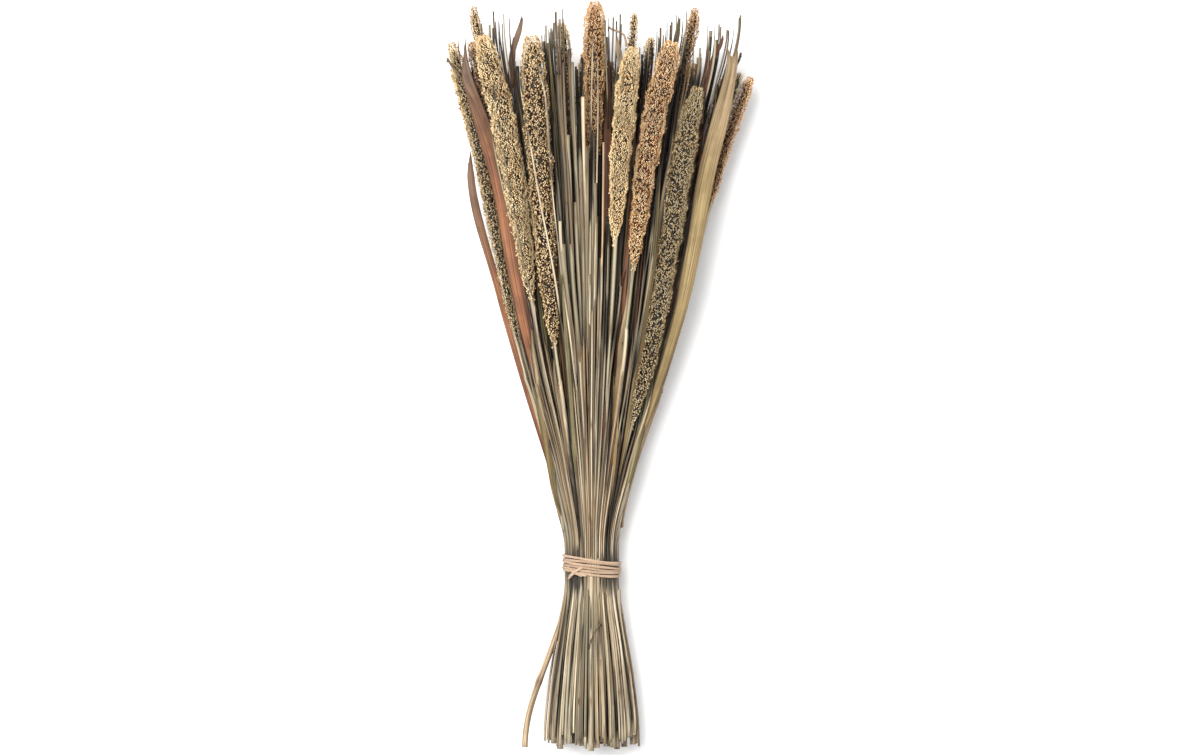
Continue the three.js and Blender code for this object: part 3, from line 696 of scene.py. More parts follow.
def straw_surface(pile, rings, seed, tone, wider=1.0, flat=1.0, sides=STRAW_COLUMNS, joints=True):
    """A ribbed tube along the rings. Radius = the stalk's radius, times 1 plus 3% of the cosine of
    six times the angle, plus a bell-shaped swelling at each joint. Both ends turn in to a hollow."""
    rng = np.random.default_rng(seed)
    low, high = rings[0, 1], rings[-1, 1]
    y = np.linspace(low, high, max(8, int((high - low) / STRAW_STEP)))
    x, z, reach = (gentle_curve(rings[:, 1], rings[:, k], y) for k in (0, 2, 3))
    free = eased((np.abs(y - TIE_MIDDLE) - 25) / 120)
    sway = free * np.sin(y / rng.uniform(55, 90) + rng.uniform(0, 6))
    bob = free * np.sin(y / rng.uniform(40, 80) + rng.uniform(0, 6))
    path = np.stack([x + SWAY * sway, y, z + BOB * bob], -1)
    at = np.arange(low + rng.uniform(30, 90), high, rng.uniform(95, 150))
    nearest = np.abs(y[:, None] - at[None, :]).min(axis=1) if joints and len(at) else np.full(len(y), 99.0)
    nearest = np.where(np.abs(y - TIE_MIDDLE) < NO_JOINT_NEAR_TIE, 99, nearest)
    ample = wider if joints else 1.04 + (wider - 1.04) * eased((y - low) / 16)
    radius = reach * ample * (1 + JOINT_SWELL * np.exp(-(nearest / JOINT_REACH) ** 2))
    _, side, up = frames_along(path)
    ends = [0, 0, 0, *range(len(y)), -1, -1, -1]
    path, side, up = path[ends], side[ends], up[ends]
    path[:3, 1] += [HOLLOW_DEPTH, HOLLOW_DEPTH, 0]
    path[-3:, 1] -= [0, HOLLOW_DEPTH, HOLLOW_DEPTH]
    first, last = radius[0] * HOLLOW_SHARE, radius[-1] * HOLLOW_SHARE
    radius = np.concatenate([[0.02, first, first], radius, [last, last, 0.02]])
    angle = np.arange(sides) * 2 * np.pi / sides + rng.uniform(0, 6)
    around = side[:, None] * np.cos(angle)[None, :, None] + flat * up[:, None] * np.sin(angle)[None, :, None]
    ribbed = radius[:, None] * (1 + RIB_DEPTH * np.cos(6 * angle))[None, :]
    points = path[:, None] + around * ribbed[..., None]
    rows, spread = len(path), np.ones(sides)
    # Painted shade: one side of each straw, facing left or right, is darker, as a round straw is in shade at
    # its sides.
    facing = rng.choice([0, np.pi]) + rng.normal(0, 0.5)
    shade_of_side = rng.uniform(0.3, 1.0) * np.maximum(0, np.cos(angle - facing)) ** 1.5
    joint = np.concatenate([[0, 0, 0], 0.75 * np.exp(-(nearest / 2.5) ** 2), [0, 0, 0]])
    hollow, cut = np.zeros(rows), np.zeros(rows)
    # The hollow rings get painted shade in the finish.
    hollow[[0, 1, -2, -1]] = 1
    cut[[2, -3]] = 1
    values = {
        "tone": np.full(rows * sides, tone),
        "joint": np.outer(joint, spread).ravel(),
        "cut": np.outer(cut, spread).ravel(),
        "hollow": np.outer(hollow, spread).ravel(),
        "painted_side_shade": np.outer(np.ones(rows), shade_of_side).ravel(),
    }
    round_way = np.abs(np.linspace(-1, 1, sides))[None, :] * 6 + seed % 97
    flow = np.stack(np.broadcast_arrays(round_way, y[ends][:, None]), -1)
    pile.add(points.reshape(-1, 3), grid_triangles(rows, sides, True), values, flow.reshape(-1, 2))


# %% [markdown]
# A leaf's lower part is a sheath that wraps its straw. In a dry bunch many straws keep such a sheath
# over part of their length, a little wider and of another colour than the straw. It is the same
# surface again, over a stretch of the straw.

# %% Straws with their sheaths


def stretch_of(rings, start, end):
    """The part of a run between two distances, with its end rings worked out."""
    stops = np.array([start, *(y for y in rings[:, 1] if start < y < end), end])
    x, z, reach = (np.interp(stops, rings[:, 1], rings[:, k]) for k in (0, 2, 3))
    return np.column_stack([x, stops, z, reach])


def straw_with_sheaths(pile, rings, seed, tone, wider):
    rng = np.random.default_rng(seed + 5000)
    straw_surface(pile, rings, seed, tone, wider)
    low, high = rings[0, 1], rings[-1, 1]
    for start, end in ((low + 6, TIE_MIDDLE - 20), (TIE_MIDDLE + 22, high - 15)):
        if end - start < 70 or rng.random() < 0.35:
            continue
        length = rng.uniform(45, min(160, end - start))
        start = rng.uniform(start, end - length)
        sheath = stretch_of(rings, start, start + length)
        straw_surface(pile, sheath, seed, float(np.clip(tone + rng.normal(0, 0.2), 0.1, 0.95)),
                      wider * rng.uniform(1.12, 1.22), rng.uniform(0.8, 0.95), joints=False)


def dressed(piece, finish, slot, *nodes):
    """What every piece of the bunch needs: its finish, its body and its solids. The slot is not used."""
    piece.data.materials.append(finish)
    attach(piece, "root")
    if nodes:
        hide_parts(*nodes)
    return piece


SLOT_OF_NODE = {part["node"]: part["material_slot"] for part in frame["record"]["subparts"]}
seed = 100
for name, runs in straws.items():
    pile = Pile()
    for rings in runs:
        seed += 1
        khaki = SLOT_OF_NODE[name] == "straw"
        tone = 0.03 + 0.74 * scattered(seed) ** 1.3 if khaki else 0.38 + 0.58 * scattered(seed)
        straw_with_sheaths(pile, rings, seed, tone, 1.05)
    dressed(pile.piece(f"fine_{name}"), STRAW, SLOT_OF_NODE[name], name)

# %% [markdown]
# ## Grain spikes
# A millet spike is a slim core covered with thousands of round grains in small clusters, with fine
# bristles between them. Particles could scatter them, but a rule is steadier: the grains sit on a fine
# golden spiral round the core, which covers it evenly. A second, coarser spiral gives the middles of
# the clusters, and a grain stands out further the nearer it is to one. A grain is a bead of sixteen
# faces, because there are tens of thousands of them.

# %% One grain
GRAIN_PITCH, HIDDEN_PITCH = 1.5, 2.0
GRAIN_HALF, GRAIN_LENGTH = 0.68, 0.8
BRISTLE_RADIUS = 0.14
SLIM_FOOT = 22  # over this length above its neck the grain is slimmer than the spike
GOLDEN_ANGLE = math.radians(137.508)
FINE_STOPS = 400


def bead():
    """A grain: two rings of four points between two poles, one unit long each way."""
    quarter = np.arange(4) * math.pi / 2
    lower = np.stack([0.82 * np.cos(quarter), 0.82 * np.sin(quarter), np.full(4, -0.45)], -1)
    turned = quarter + math.pi / 4
    upper = np.stack([0.85 * np.cos(turned), 0.85 * np.sin(turned), np.full(4, 0.4)], -1)
    points = np.vstack([[0, 0, -1], lower, upper, [0, 0, 1]])
    faces = []
    for k in range(4):
        a, b, c, d = 1 + k, 1 + (k + 1) % 4, 5 + k, 5 + (k + 1) % 4
        faces += [(0, b, a), (a, b, c), (b, d, c), (c, d, 9)]
    return points, np.array(faces)


def repeated(faces, count, points_each):
    return (faces[None] + np.arange(count)[:, None, None] * points_each).reshape(-1, 3)


def add_grain(pile, points, triangles, tone):
    pile.add(points, triangles, {"tone": tone}, np.zeros((len(points), 2)))


# %% Grains on a spiral


def grain_share(t, long, blunt):
    """Share of full radius of the grain: fuller towards the tip as the spike is, slimmer at its foot,
    and times the square root of 1 minus t to the power blunt, which rounds the tip."""
    foot = 0.45 + 0.55 * eased(t * long / SLIM_FOOT)
    return (1 - 0.65 * (1 - t) ** 3) * np.sqrt(np.maximum(0, 1 - t ** blunt)) * foot


def spiral(stalk, neck, tip, thick, blunt, rng, pitch):
    """Evenly spread places on a spike: at distances along it in equal shares of its area, each turned
    by the golden angle from the last and shaken a little."""
    fine = np.linspace(0, 1, FINE_STOPS)
    radius_at = thick / 2 * grain_share(fine * TIP_CUT, tip - neck, blunt)
    area = np.cumsum(radius_at) / radius_at.sum()
    count = int(2 * np.pi * radius_at.mean() * (tip - neck) / (pitch ** 2 * 0.87))
    t = np.interp((np.arange(count) + rng.uniform(0, 1, count)) / count, area, fine)
    radius = np.interp(t, fine, radius_at)
    shaken = rng.normal(0, 0.22 * pitch, count) / np.maximum(radius, 2)
    angle = np.arange(count) * GOLDEN_ANGLE + shaken
    nearest_stop = np.clip((t * (FINE_STOPS - 1)).astype(int), 0, FINE_STOPS - 1)
    along, side, up = (part[nearest_stop]
                       for part in frames_along(on_stalk(stalk, neck + (tip - neck) * fine)))
    out = side * np.cos(angle)[:, None] + up * np.sin(angle)[:, None]
    return t, angle, radius, on_stalk(stalk, neck + (tip - neck) * t), out, along


def nearest_distance(points, centres):
    """For each point the distance to the nearest of the centres."""
    square = (points ** 2).sum(1)[:, None] + (centres ** 2).sum(1)[None] - 2 * points @ centres.T
    return np.sqrt(np.maximum(square.min(axis=1), 0))


def uneven_growth(t, angle, long, rng):
    """Share by which the spike is thicker or thinner there: four waves along and round it, 9 to 60 mm
    long, each with a start of its own."""
    swell = np.zeros(len(t))
    for wave_length, turns, amount in ((60, 1, 0.06), (27, -2, 0.06), (15, 3, 0.045), (9, 2, 0.035)):
        swell += amount * np.sin(2 * np.pi * t * long / wave_length + turns * angle + rng.uniform(0, 6.28))
    return swell


def spike_surface(pile, stalk, neck, tip, thick, rng, looks, pitch):
    """Grains on a spiral, lifted where a cluster has its middle. Lift = the cluster's height times 1 at
    its middle, down to -1 at its edge. Grains are missing between the clusters, where the core shows."""
    missing, length, hairs, cluster, lift, blunt = looks
    _, _, wide, path, way, _ = spiral(stalk, neck, tip, thick, blunt, rng, cluster)
    middles = path + way * wide[:, None]
    t, angle, radius, path, out, along = spiral(stalk, neck, tip, thick, blunt, rng, pitch)
    count = len(t)
    edge = nearest_distance(path + out * radius[:, None], middles) / (0.56 * cluster)
    wave = np.clip(1 - 1.3 * edge ** 1.6, -1, 1)
    height = radius * (1 + uneven_growth(t, angle, tip - neck, rng)) - GRAIN_LENGTH + lift * wave
    centre = path + out * np.maximum(height + rng.normal(0, 0.45, count), 0.3)[:, None]
    kept = rng.random(count) > missing * (1.5 - wave) * (1 - 0.9 * eased((t - 0.86) / 0.1))
    long_way = directions(out + 0.5 * along + rng.normal(0, 0.3, out.shape))[kept]
    first = directions(np.cross(long_way, rng.normal(0, 1, long_way.shape)))
    second = np.cross(long_way, first)
    size = rng.uniform(0.86, 1.14, len(first)) * pitch / GRAIN_PITCH * min(1.0, 0.8 + thick / 90)
    shape, faces = bead()
    points = centre[kept][:, None] + size[:, None, None] * (
        GRAIN_HALF * (first[:, None] * shape[None, :, :1] + second[:, None] * shape[None, :, 1:2])
        + GRAIN_LENGTH * long_way[:, None] * shape[None, :, 2:])
    # Painted shade between the clusters: a grain is lighter the nearer it is to a cluster's middle, and
    # darker at its edge.
    own = np.clip(rng.beta(1.6, 0.6, len(size)) + 0.12 * wave[kept] + 0.06 * np.sin(t[kept] * 21), 0.1, 1)
    # Painted highlight and shade: each grain is lighter towards its outer tip and darker at its foot.
    body = 0.4 + 0.6 * np.clip((shape[:, 2] + 1) / 1.4, 0, 1)
    tone = 0.14 + 0.66 * own[:, None] * body[None, :]
    add_grain(pile, points.reshape(-1, 3), repeated(faces, len(size), len(shape)), tone.ravel())
    pick = np.nonzero(rng.random(count) < hairs)[0]
    add_bristles(pile, centre[pick], out[pick], along[pick], rng, length)


def add_bristles(pile, root, out, along, rng, length):
    """Thin three-sided needles that leave the spike outwards and towards the tip."""
    count = len(root)
    way = directions(out * rng.uniform(0.5, 1.0, (count, 1)) + along * rng.uniform(0.5, 1.2, (count, 1))
                     + rng.normal(0, 0.22, (count, 3)))
    tip = root + way * rng.uniform(0.6, 1.0, (count, 1)) * length
    first = directions(np.cross(way, rng.normal(0, 1, way.shape)))
    second = np.cross(way, first)
    corners = [root + BRISTLE_RADIUS * (first * math.cos(a) + second * math.sin(a))
               for a in (0, 2.094, 4.189)]
    faces = np.array([(0, 1, 3), (1, 2, 3), (2, 0, 3), (2, 1, 0)])
    points = np.stack([*corners, tip], 1).reshape(-1, 3)
    add_grain(pile, points, repeated(faces, count, 4), np.tile([0.95, 0.95, 0.95, 1.0], count))


def spike_core(pile, stalk, neck, tip, thick, blunt):
    """The middle of a spike, painted near black as shade between the grains: a tube a little slimmer than its
    grain, closed at both ends.
    """
    rows, columns = 40, 14
    t = np.linspace(0, 1, rows)
    path = on_stalk(stalk, neck + (tip - neck) * t * TIP_CUT)
    _, side, up = frames_along(path)
    full = thick / 2 * grain_share(t * TIP_CUT, tip - neck, blunt)
    radius = np.maximum(full * 0.55, full - 3.0)
    radius[[0, -1]] = 0.02
    angle = np.arange(columns) * 2 * np.pi / columns
    ring = side[:, None] * np.cos(angle)[None, :, None] + up[:, None] * np.sin(angle)[None, :, None]
    points = (path[:, None] + ring * radius[:, None, None]).reshape(-1, 3)
    add_grain(pile, points, grid_triangles(rows, columns, True), np.zeros(len(points)))


# %% [markdown]
# The stalk under a spike is a straw like the others, so it is a piece of its own beside the grain,
# and both together stand for the one solid. Grains that would reach below the table are pressed flat
# on it, as the lowest spikes of a lying bunch are.

# %% All the spikes
# share of grains that have fallen out, length of the bristles, bristles for each grain
LOOKS = {
    "cream": (0.1, 3.0, 0.3), "golden": (0.27, 3.0, 0.3), "orange": (0.18, 3.4, 0.35),
    "khaki": (0.31, 6.0, 0.5), "olive": (0.3, 3.6, 0.35), "rust": (0.15, 3.4, 0.35),
    "dark": (0.18, 3.2, 0.3),
}
# distance between the clusters, how far they stand out, and how blunt the tip is
USUAL_CLUSTERS = (4.2, 0.7, 14)
CLUSTERS = {
    "spike_cream_left": (5.0, 1.5, 13), "spike_golden_left": (5.0, 1.2, 15),
    "spike_cream_centre": (3.2, 0.3, 10), "spike_khaki_right": (3.4, 0.4, 12),
    "spike_orange_right": (4.0, 0.7, 16),
}

for index, (name, ring, degrees, fan, lean, neck, tip, thick, finish) in enumerate(SPIKES):
    pile = Pile()
    looks = LOOKS[finish] + CLUSTERS.get(name, USUAL_CLUSTERS)
    spike_core(pile, spike_stalks[name], neck, tip, thick, looks[-1])
    spike_surface(pile, spike_stalks[name], neck, tip, thick, np.random.default_rng(500 + index),
                  looks, HIDDEN_PITCH if "under" in name else GRAIN_PITCH)
    dressed(pile.piece(f"grain_{name}"), GRAIN_FINISH[finish], SLOT_OF_NODE[name], name)
    stem = Pile()
    straw_with_sheaths(stem, stems[name], 700 + index, 0.3 + 0.6 * scattered(index * 5), 1.05)
    dressed(stem.piece(f"stalk_{name}"), STRAW, "straw")

# %% [markdown]
# ## Leaves
# A dry grass leaf is a long ribbon, folded along its rib and curled at its edges, with veins from
# end to end. The surface is a grid across and along: the rib's fold lifts the edges, ripples run along
# them, and every vein is a small ridge. A thin copy below, joined at the border, makes it a closed
# sheet with real thickness.

# %% The leaf surface
LEAF_THICKNESS = 0.35


def curved_through(rows, y):
    """Places across and up at distances y, on smooth curves through the rows of a run."""
    return (gentle_curve(rows[:, 1], rows[:, k], y) for k in (0, 2))


def leaf_surface(pile, y, x, z, half, roll, fold, seed, notch=0.0, columns=25):
    """A closed sheet along a path. Height above the flat blade = fold times the share across, less 0.4
    of its fourth power at the edges, plus a travelling ripple, plus veins: a tenth of a millimetre of
    cosine across. The middle of the cut top is notched back, and its border is ragged."""
    rng = np.random.default_rng(seed)
    path = np.stack([x, y, z], -1)
    _, side, up = frames_along(path)
    turned = roll + 0.12 * np.sin(y / 47 + rng.uniform(0, 6))
    across_way = side * np.cos(turned)[:, None] + up * np.sin(turned)[:, None]
    out_way = up * np.cos(turned)[:, None] - side * np.sin(turned)[:, None]
    u = np.linspace(-1, 1, columns)
    ripple = 0.07 * half[:, None] * u ** 2 * np.sin(y[:, None] / 19 + 2.2 * u + rng.uniform(0, 6))
    veins = 0.10 * np.cos(u * (columns - 1) / 2 * np.pi)
    height = fold[:, None] * np.abs(u) + ripple + veins - 0.4 * fold[:, None] * u ** 4
    uneven = 1 + 0.06 * np.sin(y / 31 + rng.uniform(0, 6)) + 0.03 * np.sin(y / 11 + rng.uniform(0, 6))
    centre = path[:, None] + across_way[:, None] * (half * uneven)[:, None, None] * u[None, :, None]
    ragged = notch * (1 - np.abs(u)) + rng.uniform(0, 3.0, columns)
    torn_over = max(40, 2.2 * abs(notch))
    centre[..., 1] -= ragged[None, :] * eased((y - y[-1] + torn_over) / torn_over)[:, None]
    top = centre + out_way[:, None] * (height + LEAF_THICKNESS / 2)[..., None]
    bottom = centre + out_way[:, None] * (height - LEAF_THICKNESS / 2)[..., None]
    rows = len(y)
    faces, count = grid_triangles(rows, columns, False), rows * columns
    grid = np.arange(count).reshape(rows, columns)
    border = np.concatenate([grid[0], grid[1:, -1], grid[-1, -2::-1], grid[-2:0:-1, 0]])
    following = np.roll(border, -1)
    walls = np.concatenate([np.stack([border, border + count, following], -1),
                            np.stack([border + count, following + count, following], -1)])
    triangles = np.concatenate([faces, faces[:, ::-1] + count, walls])
    edge = 0.7 * np.clip((np.abs(u) - 0.84) / 0.16, 0, 1)[None, :] * np.ones((rows, 1))
    edge = np.maximum(edge, 0.5 * eased((y - y[-1] + 12) / 12)[:, None])
    tip = 0.8 * eased((y - y[-1] + 130) / 110)[:, None] * np.ones((1, columns))
    flow = np.stack(np.broadcast_arrays(u[None, :] * half.max() + seed % 89, y[:, None]), -1).reshape(-1, 2)
    points = np.concatenate([top.reshape(-1, 3), bottom.reshape(-1, 3)])
    pile.add(points, triangles, {"edge": np.tile(edge.ravel(), 2), "tip": np.tile(tip.ravel(), 2)},
             np.concatenate([flow, flow]))


# %% The four broad leaves
# how far each cut top is notched in the middle, in mm
NOTCHES = {
    "leaf_wide_right": 9.0, "leaf_copper_left": 30.0, "leaf_narrow_left": -12.0, "leaf_under_right": 7.0,
}
for index, (name, degrees, fan, lean, stray, start, end, half, roll, finish) in enumerate(LEAVES):
    y = np.linspace(start, end, int((end - start) / 3))
    x, z = curved_through(blades[name], y)
    opened = eased((y - start) / BLADE_OPENS_OVER)
    half_width = blade_half(y, start, end, half)
    if name == "leaf_copper_left":
        half_width = half_width * (1 - 0.3 * eased((y - 540) / 60))
    pile = Pile()
    leaf_surface(pile, y, x, z, half_width, math.radians(roll) * opened, 1.1 * opened, 300 + index,
                 NOTCHES[name], 27)
    dressed(pile.piece(f"blade_{name}"), LEAF[finish], SLOT_OF_NODE[name], name)
    stem = Pile()
    straw_surface(stem, stems[name], 340 + index, 0.84 if stray else 0.45, 1.05)
    dressed(stem.piece(f"stalk_{name}"), STRAW, "straw")

# %% [markdown]
# ## Thin straws and narrow leaves in the gaps
# Between the thick stalks lie many thin ones, too small to be solids of their own. Some fit the
# grooves of the outer ring in the tie. The others start inside the tie, where they share room with the
# straws because there is no more of it, and rise between the spikes, some round, some narrow blades.
# Above the tie they are pushed away from the others at a few distances, as the solids' stalks are.

# %% Thin straws in the grooves
GROOVE_RING = 4 * 1.0845  # just outside two neighbours of the outer ring
THIN = 0.9
pile = Pile()
for n in range(24):
    degrees = 7.5 + 15 * n
    across, up = place_in_tie(4, degrees)
    fan = (across * (0.5 + 0.5 * scattered(7 * n)), up * 0.9)
    stalk = {"tie": place_in_tie(GROOVE_RING, degrees), "fan": fan}
    owner = f"groove_{n}"
    rows = [[*on_stalk(stalk, y), THIN] for y in (2 + 14 * scattered(3 * n), 60, 110)]
    for y in (*STATIONS[:-1], 460 + 150 * scattered(5 * n)):
        x, _, z = on_stalk(stalk, y)
        rows.append([*(bent_clear((x, y, z), THIN, owner) if y > OUT_OF_TIE else (x, y, z)), THIN])
    straw_surface(pile, lay(owner, np.array(rows)), 1100 + n, 0.15 + 0.75 * scattered(11 * n), sides=8)
dressed(pile.piece("thin_straws_in_grooves"), STRAW, "straw")

# %% Thin stems and narrow leaves between the spikes
FRONT_SPIKES = SPIKES[:8]
UPS_TO_TRY = (1.0, 0.6, 0.2, -0.3)
THIN_KINDS = ["stem", "olive_leaf", "stem", "stem", "tan_leaf", "stem", "red_leaf", "stem",
              "olive_leaf", "stem", "copper_leaf"]
THIN_COUNT, HIGHEST_THIN = 190, 96


def half_widths(y):
    """Half-width of the bunch at distances y."""
    return gentle_curve(SECTIONS[:, 0], SECTIONS[:, 1], y)


def leaf_pieces(kind_of_piece, piles):
    """One piece for each leaf finish."""
    for kind, pile in piles.items():
        slot = "leaf_copper" if kind == "copper_leaf" else "leaf_tan"
        dressed(pile.piece(f"{kind_of_piece}_{kind}"), LEAF[kind], slot)


def hides_a_spike(rings):
    """Whether a run passes above the middle of a front spike, where it would cover its grain."""
    for name, _, _, _, _, neck, tip, thick, _ in FRONT_SPIKES:
        y = np.linspace(neck + 20, tip, 8)
        y = y[y < rings[-1, 1]]
        spike = on_stalk(spike_stalks[name], y)
        x, z = (np.interp(y, rings[:, 1], rings[:, k]) for k in (0, 2))
        if np.any((np.abs(x - spike[:, 0]) < thick * 0.45) & (z > spike[:, 2])):
            return True
    return False


def thin_run(n, across, up, reach, end):
    """The rings of one thin piece. It starts deep in the tie, is pushed away from the others at five
    distances above it, and goes straight on from the last of them."""
    stalk = {"tie": (across * 0.6, up * 0.5), "fan": (across, up), "lean": 0.05 * math.sin(n)}
    rows = [[*on_stalk(stalk, 185), reach]]
    rows += [[*bent_clear(on_stalk(stalk, y), reach, f"thin_{n}"), reach] for y in (250, 310, 395, 470, 540)]
    rows = np.array(rows)
    straight_on = rows[-1] + (rows[-1] - rows[-2]) * (end - 540) / 70
    return np.vstack([rows, straight_on])


stem_pile = Pile()
blade_piles = {kind: Pile() for kind in ("olive_leaf", "red_leaf", "tan_leaf", "copper_leaf")}
skipped = 0
for n in range(THIN_COUNT):
    kind = THIN_KINDS[n % len(THIN_KINDS)]
    across, high = -0.97 + 2.0 * scattered(n), 0.1 + 0.8 * scattered(2 * n + 0.3)
    end = 578 + 64 * scattered(5 * n + 0.1)
    for share in UPS_TO_TRY:
        rings = thin_run(n, across, high * share, 0.7 if kind == "stem" else 1.2, end)
        wide = half_widths(rings[:, 1])
        roomy = np.all(np.abs(rings[:, 0]) < wide * 1.08 + 2) and rings[:, 2].max() < HIGHEST_THIN
        if roomy and not hides_a_spike(rings):
            break
    else:
        skipped += 1
        continue
    lay(f"thin_{n}", rings)
    if kind == "stem":
        rings[:, 3] *= 0.7 + 0.9 * scattered(13 * n)
        straw_surface(stem_pile, rings, 1300 + n, 0.5 * scattered(11 * n) ** 1.4, sides=6, joints=n % 3 == 0)
        continue
    y = np.linspace(185, end, 60)
    x, z = curved_through(rings, y)
    opened = (0.3 + 0.7 * eased((y - 200) / 200)) * (1 - 0.85 * eased((y - end + 90) / 90))
    roll = 0.9 * np.sin(n * 2.4) + 0.5 * np.sin(y / 60 + n)
    leaf_surface(blade_piles[kind], y, x, z, (0.9 + 1.7 * scattered(17 * n)) * opened, roll, 0.3 * opened,
                 1500 + n, 1.0, 7)
dressed(stem_pile.piece("thin_stems_between"), STRAW, "straw")
leaf_pieces("narrow_leaves", blade_piles)
print("thin pieces skipped for want of room:", skipped)

# %% [markdown]
# ## The straws on top
# The bunch is seen from above, so what lies on top matters most: a sheaf of khaki straws in the
# middle, cut at uneven heights, pale straws that cross the spikes, and thin strands on the lower fan
# and above the cut ends. Each is given by a few places in the plane. Its height is what it would rest
# on there, worked out from the runs laid so far. To draw the heights by hand would be slower, and a
# straw would then float or sink wherever one below it moves.

# %% Straws that rest on the bunch
REST_EVERY = 12.0


def resting_height(x, y, reach, under):
    """The height at which a straw of this radius would lie on the runs under that place."""
    highest = reach
    for _, rings in under:
        if y < rings[0, 1] or y > rings[-1, 1]:
            continue
        other_x, other_z, other_reach = (np.interp(y, rings[:, 1], rings[:, k]) for k in (0, 2, 3))
        touch, aside = other_reach + reach, abs(x - other_x)
        if aside < touch:
            highest = max(highest, other_z + math.sqrt(touch ** 2 - aside ** 2))
    return highest


def resting_run(places, reach, under, sink=0.0):
    """A run through places (x, y) in the plane, lying on the bunch: the heights below it are taken
    every few millimetres, spread to their neighbours and smoothed, less the depth it sinks in."""
    places = np.array(places, float)
    y = np.arange(places[0, 1], places[-1, 1] + 1, REST_EVERY)
    x = gentle_curve(places[:, 1], places[:, 0], y)
    z = np.array([resting_height(a, b, reach, under) for a, b in zip(x, y)])
    padded = np.pad(z, 1, mode="edge")
    z = np.max([padded[k:k + len(z)] for k in range(3)], axis=0)
    padded = np.pad(z, 3, mode="edge")
    z = np.mean([padded[k:k + len(z)] for k in range(7)], axis=0)
    return np.column_stack([x, y, z - sink, np.full(len(y), reach)])


# %% The middle sheaf of khaki straws
# place across the fan, distance of the cut top from the cut ends
MIDDLE_STRAWS = [
    (-0.2, 605), (-0.13, 603), (-0.3, 559), (-0.1, 563), (0.02, 543), (-0.04, 531), (-0.1, 511),
    (-0.33, 498), (-0.05, 491), (-0.16, 478), (-0.24, 480), (0.04, 464), (-0.28, 449), (0.1, 429),
    (0.33, 408), (-0.2, 440),
    (0.0, 400), (-0.12, 420), (0.16, 470), (-0.4, 430),
]
SUNK_START, RISES_OVER = 9.0, 80.0


def sunk(run):
    """The run with its start deep among the others, thinner there, and up on them further along."""
    risen = eased((run[:, 1] - run[0, 1]) / RISES_OVER)
    run[:, 2] -= SUNK_START * (1 - risen)
    run[:, 3] *= 0.4 + 0.6 * risen
    return run


pile = Pile()
below = list(laid)
for n, (share, top) in enumerate(MIDDLE_STRAWS):
    wide = float(half_widths(top))
    places = [(share * 18, 176), (share * 32, 240), (share * wide * 0.62, (top + 240) / 2),
              (share * wide, top)]
    run = sunk(resting_run(places, 1.2 + 0.7 * scattered(7 * n), below, sink=0.4 + 1.2 * (n % 3)))
    straw_surface(pile, lay(f"middle_{n}", run), 1700 + n, 0.12 + 0.22 * scattered(3 * n),
                  joints=n % 3 == 0)
dressed(pile.piece("middle_straws"), STRAW, "straw")

# %% Pale thin straws across the spikes
CROSSING = [
    # radius, tone, places (x, y) in mm from the middle of the tie and the cut ends
    (0.9, 0.62, [(-12, 215), (-20, 300), (-29, 390), (-45, 482), (-53, 532), (-61, 590)]),
    (0.8, 0.6, [(-4, 230), (-16, 345), (-27, 427), (-35, 496), (-40, 563), (-49, 608)]),
    (0.8, 0.55, [(-1.5, 260), (-2, 400), (-1.3, 479), (-0.4, 552), (1.3, 628)]),
    (0.8, 0.5, [(2, 300), (3, 400), (4.8, 479), (5.6, 552), (4.8, 608)]),
    (0.9, 0.66, [(11, 219), (18, 288), (24, 367), (24, 417), (27, 448), (33, 506)]),
    (0.7, 0.3, [(-38, 330), (-58, 420), (-72, 500), (-84, 575), (-92, 617)]),
    (0.8, 0.3, [(30, 270), (43, 370), (55, 440), (66, 510), (76, 570), (82, 625)]),
    (0.7, 0.7, [(40, 320), (52, 400), (62, 470), (72, 540), (79, 600)]),
]
pile = Pile()
for n, (reach, tone, places) in enumerate(CROSSING):
    run = sunk(resting_run(places, reach, laid, sink=1.2))
    straw_surface(pile, lay(f"crossing_{n}", run), 1800 + n, tone, sides=8, joints=False)
dressed(pile.piece("crossing_straws"), STRAW, "pale_straw")

# %% [markdown]
# Split straw and thin side stems lie loose on a dry bunch, and give its lower fan and its cut ends
# their fine lines. A texture could paint the lines, but it would be flat from the side. So they are
# real strands, sunk a little at the tie, where the raffia holds them, and at their upper ends.

# %% Thin strands on the lower fan and above the cut ends
STRAND_TONES = (0.02, 0.2, 0.95, 0.1, 0.6, 0.04, 0.34, 0.8, 0.14, 0.5)
STRANDS, FOOT_STRANDS = 58, 22
TIE_REACH = 19.5  # half the width over which strands pass under the raffia
TOP_SINK, TOP_SINKS_OVER, TIE_SINK, FOOT_TIE_SINK = 5, 60, 2.6, 2.4
pile = Pile()
below, foot_runs = list(laid), []
for n in range(STRANDS):
    share, top = -0.93 + 1.86 * scattered(n + 0.5), 300 + 170 * scattered(3 * n + 0.2)
    wide = half_widths([240, top])
    places = [(share * TIE_REACH, 152), (share * TIE_REACH, 176), (share * wide[0], 240),
              (share * wide[1], top)]
    run = resting_run(places, 0.65 + 0.5 * scattered(7 * n), below, sink=0.5)
    if hides_a_spike(run):
        continue
    from_top = eased((top - run[:, 1]) / TOP_SINKS_OVER)
    run[:, 2] -= TOP_SINK * (1 - from_top) + TIE_SINK * (1 - eased((run[:, 1] - 166) / 24))
    run[:, 3] *= 0.5 + 0.5 * from_top
    straw_surface(pile, run, 2200 + n, STRAND_TONES[n % 10], sides=6, joints=n % 4 == 0)
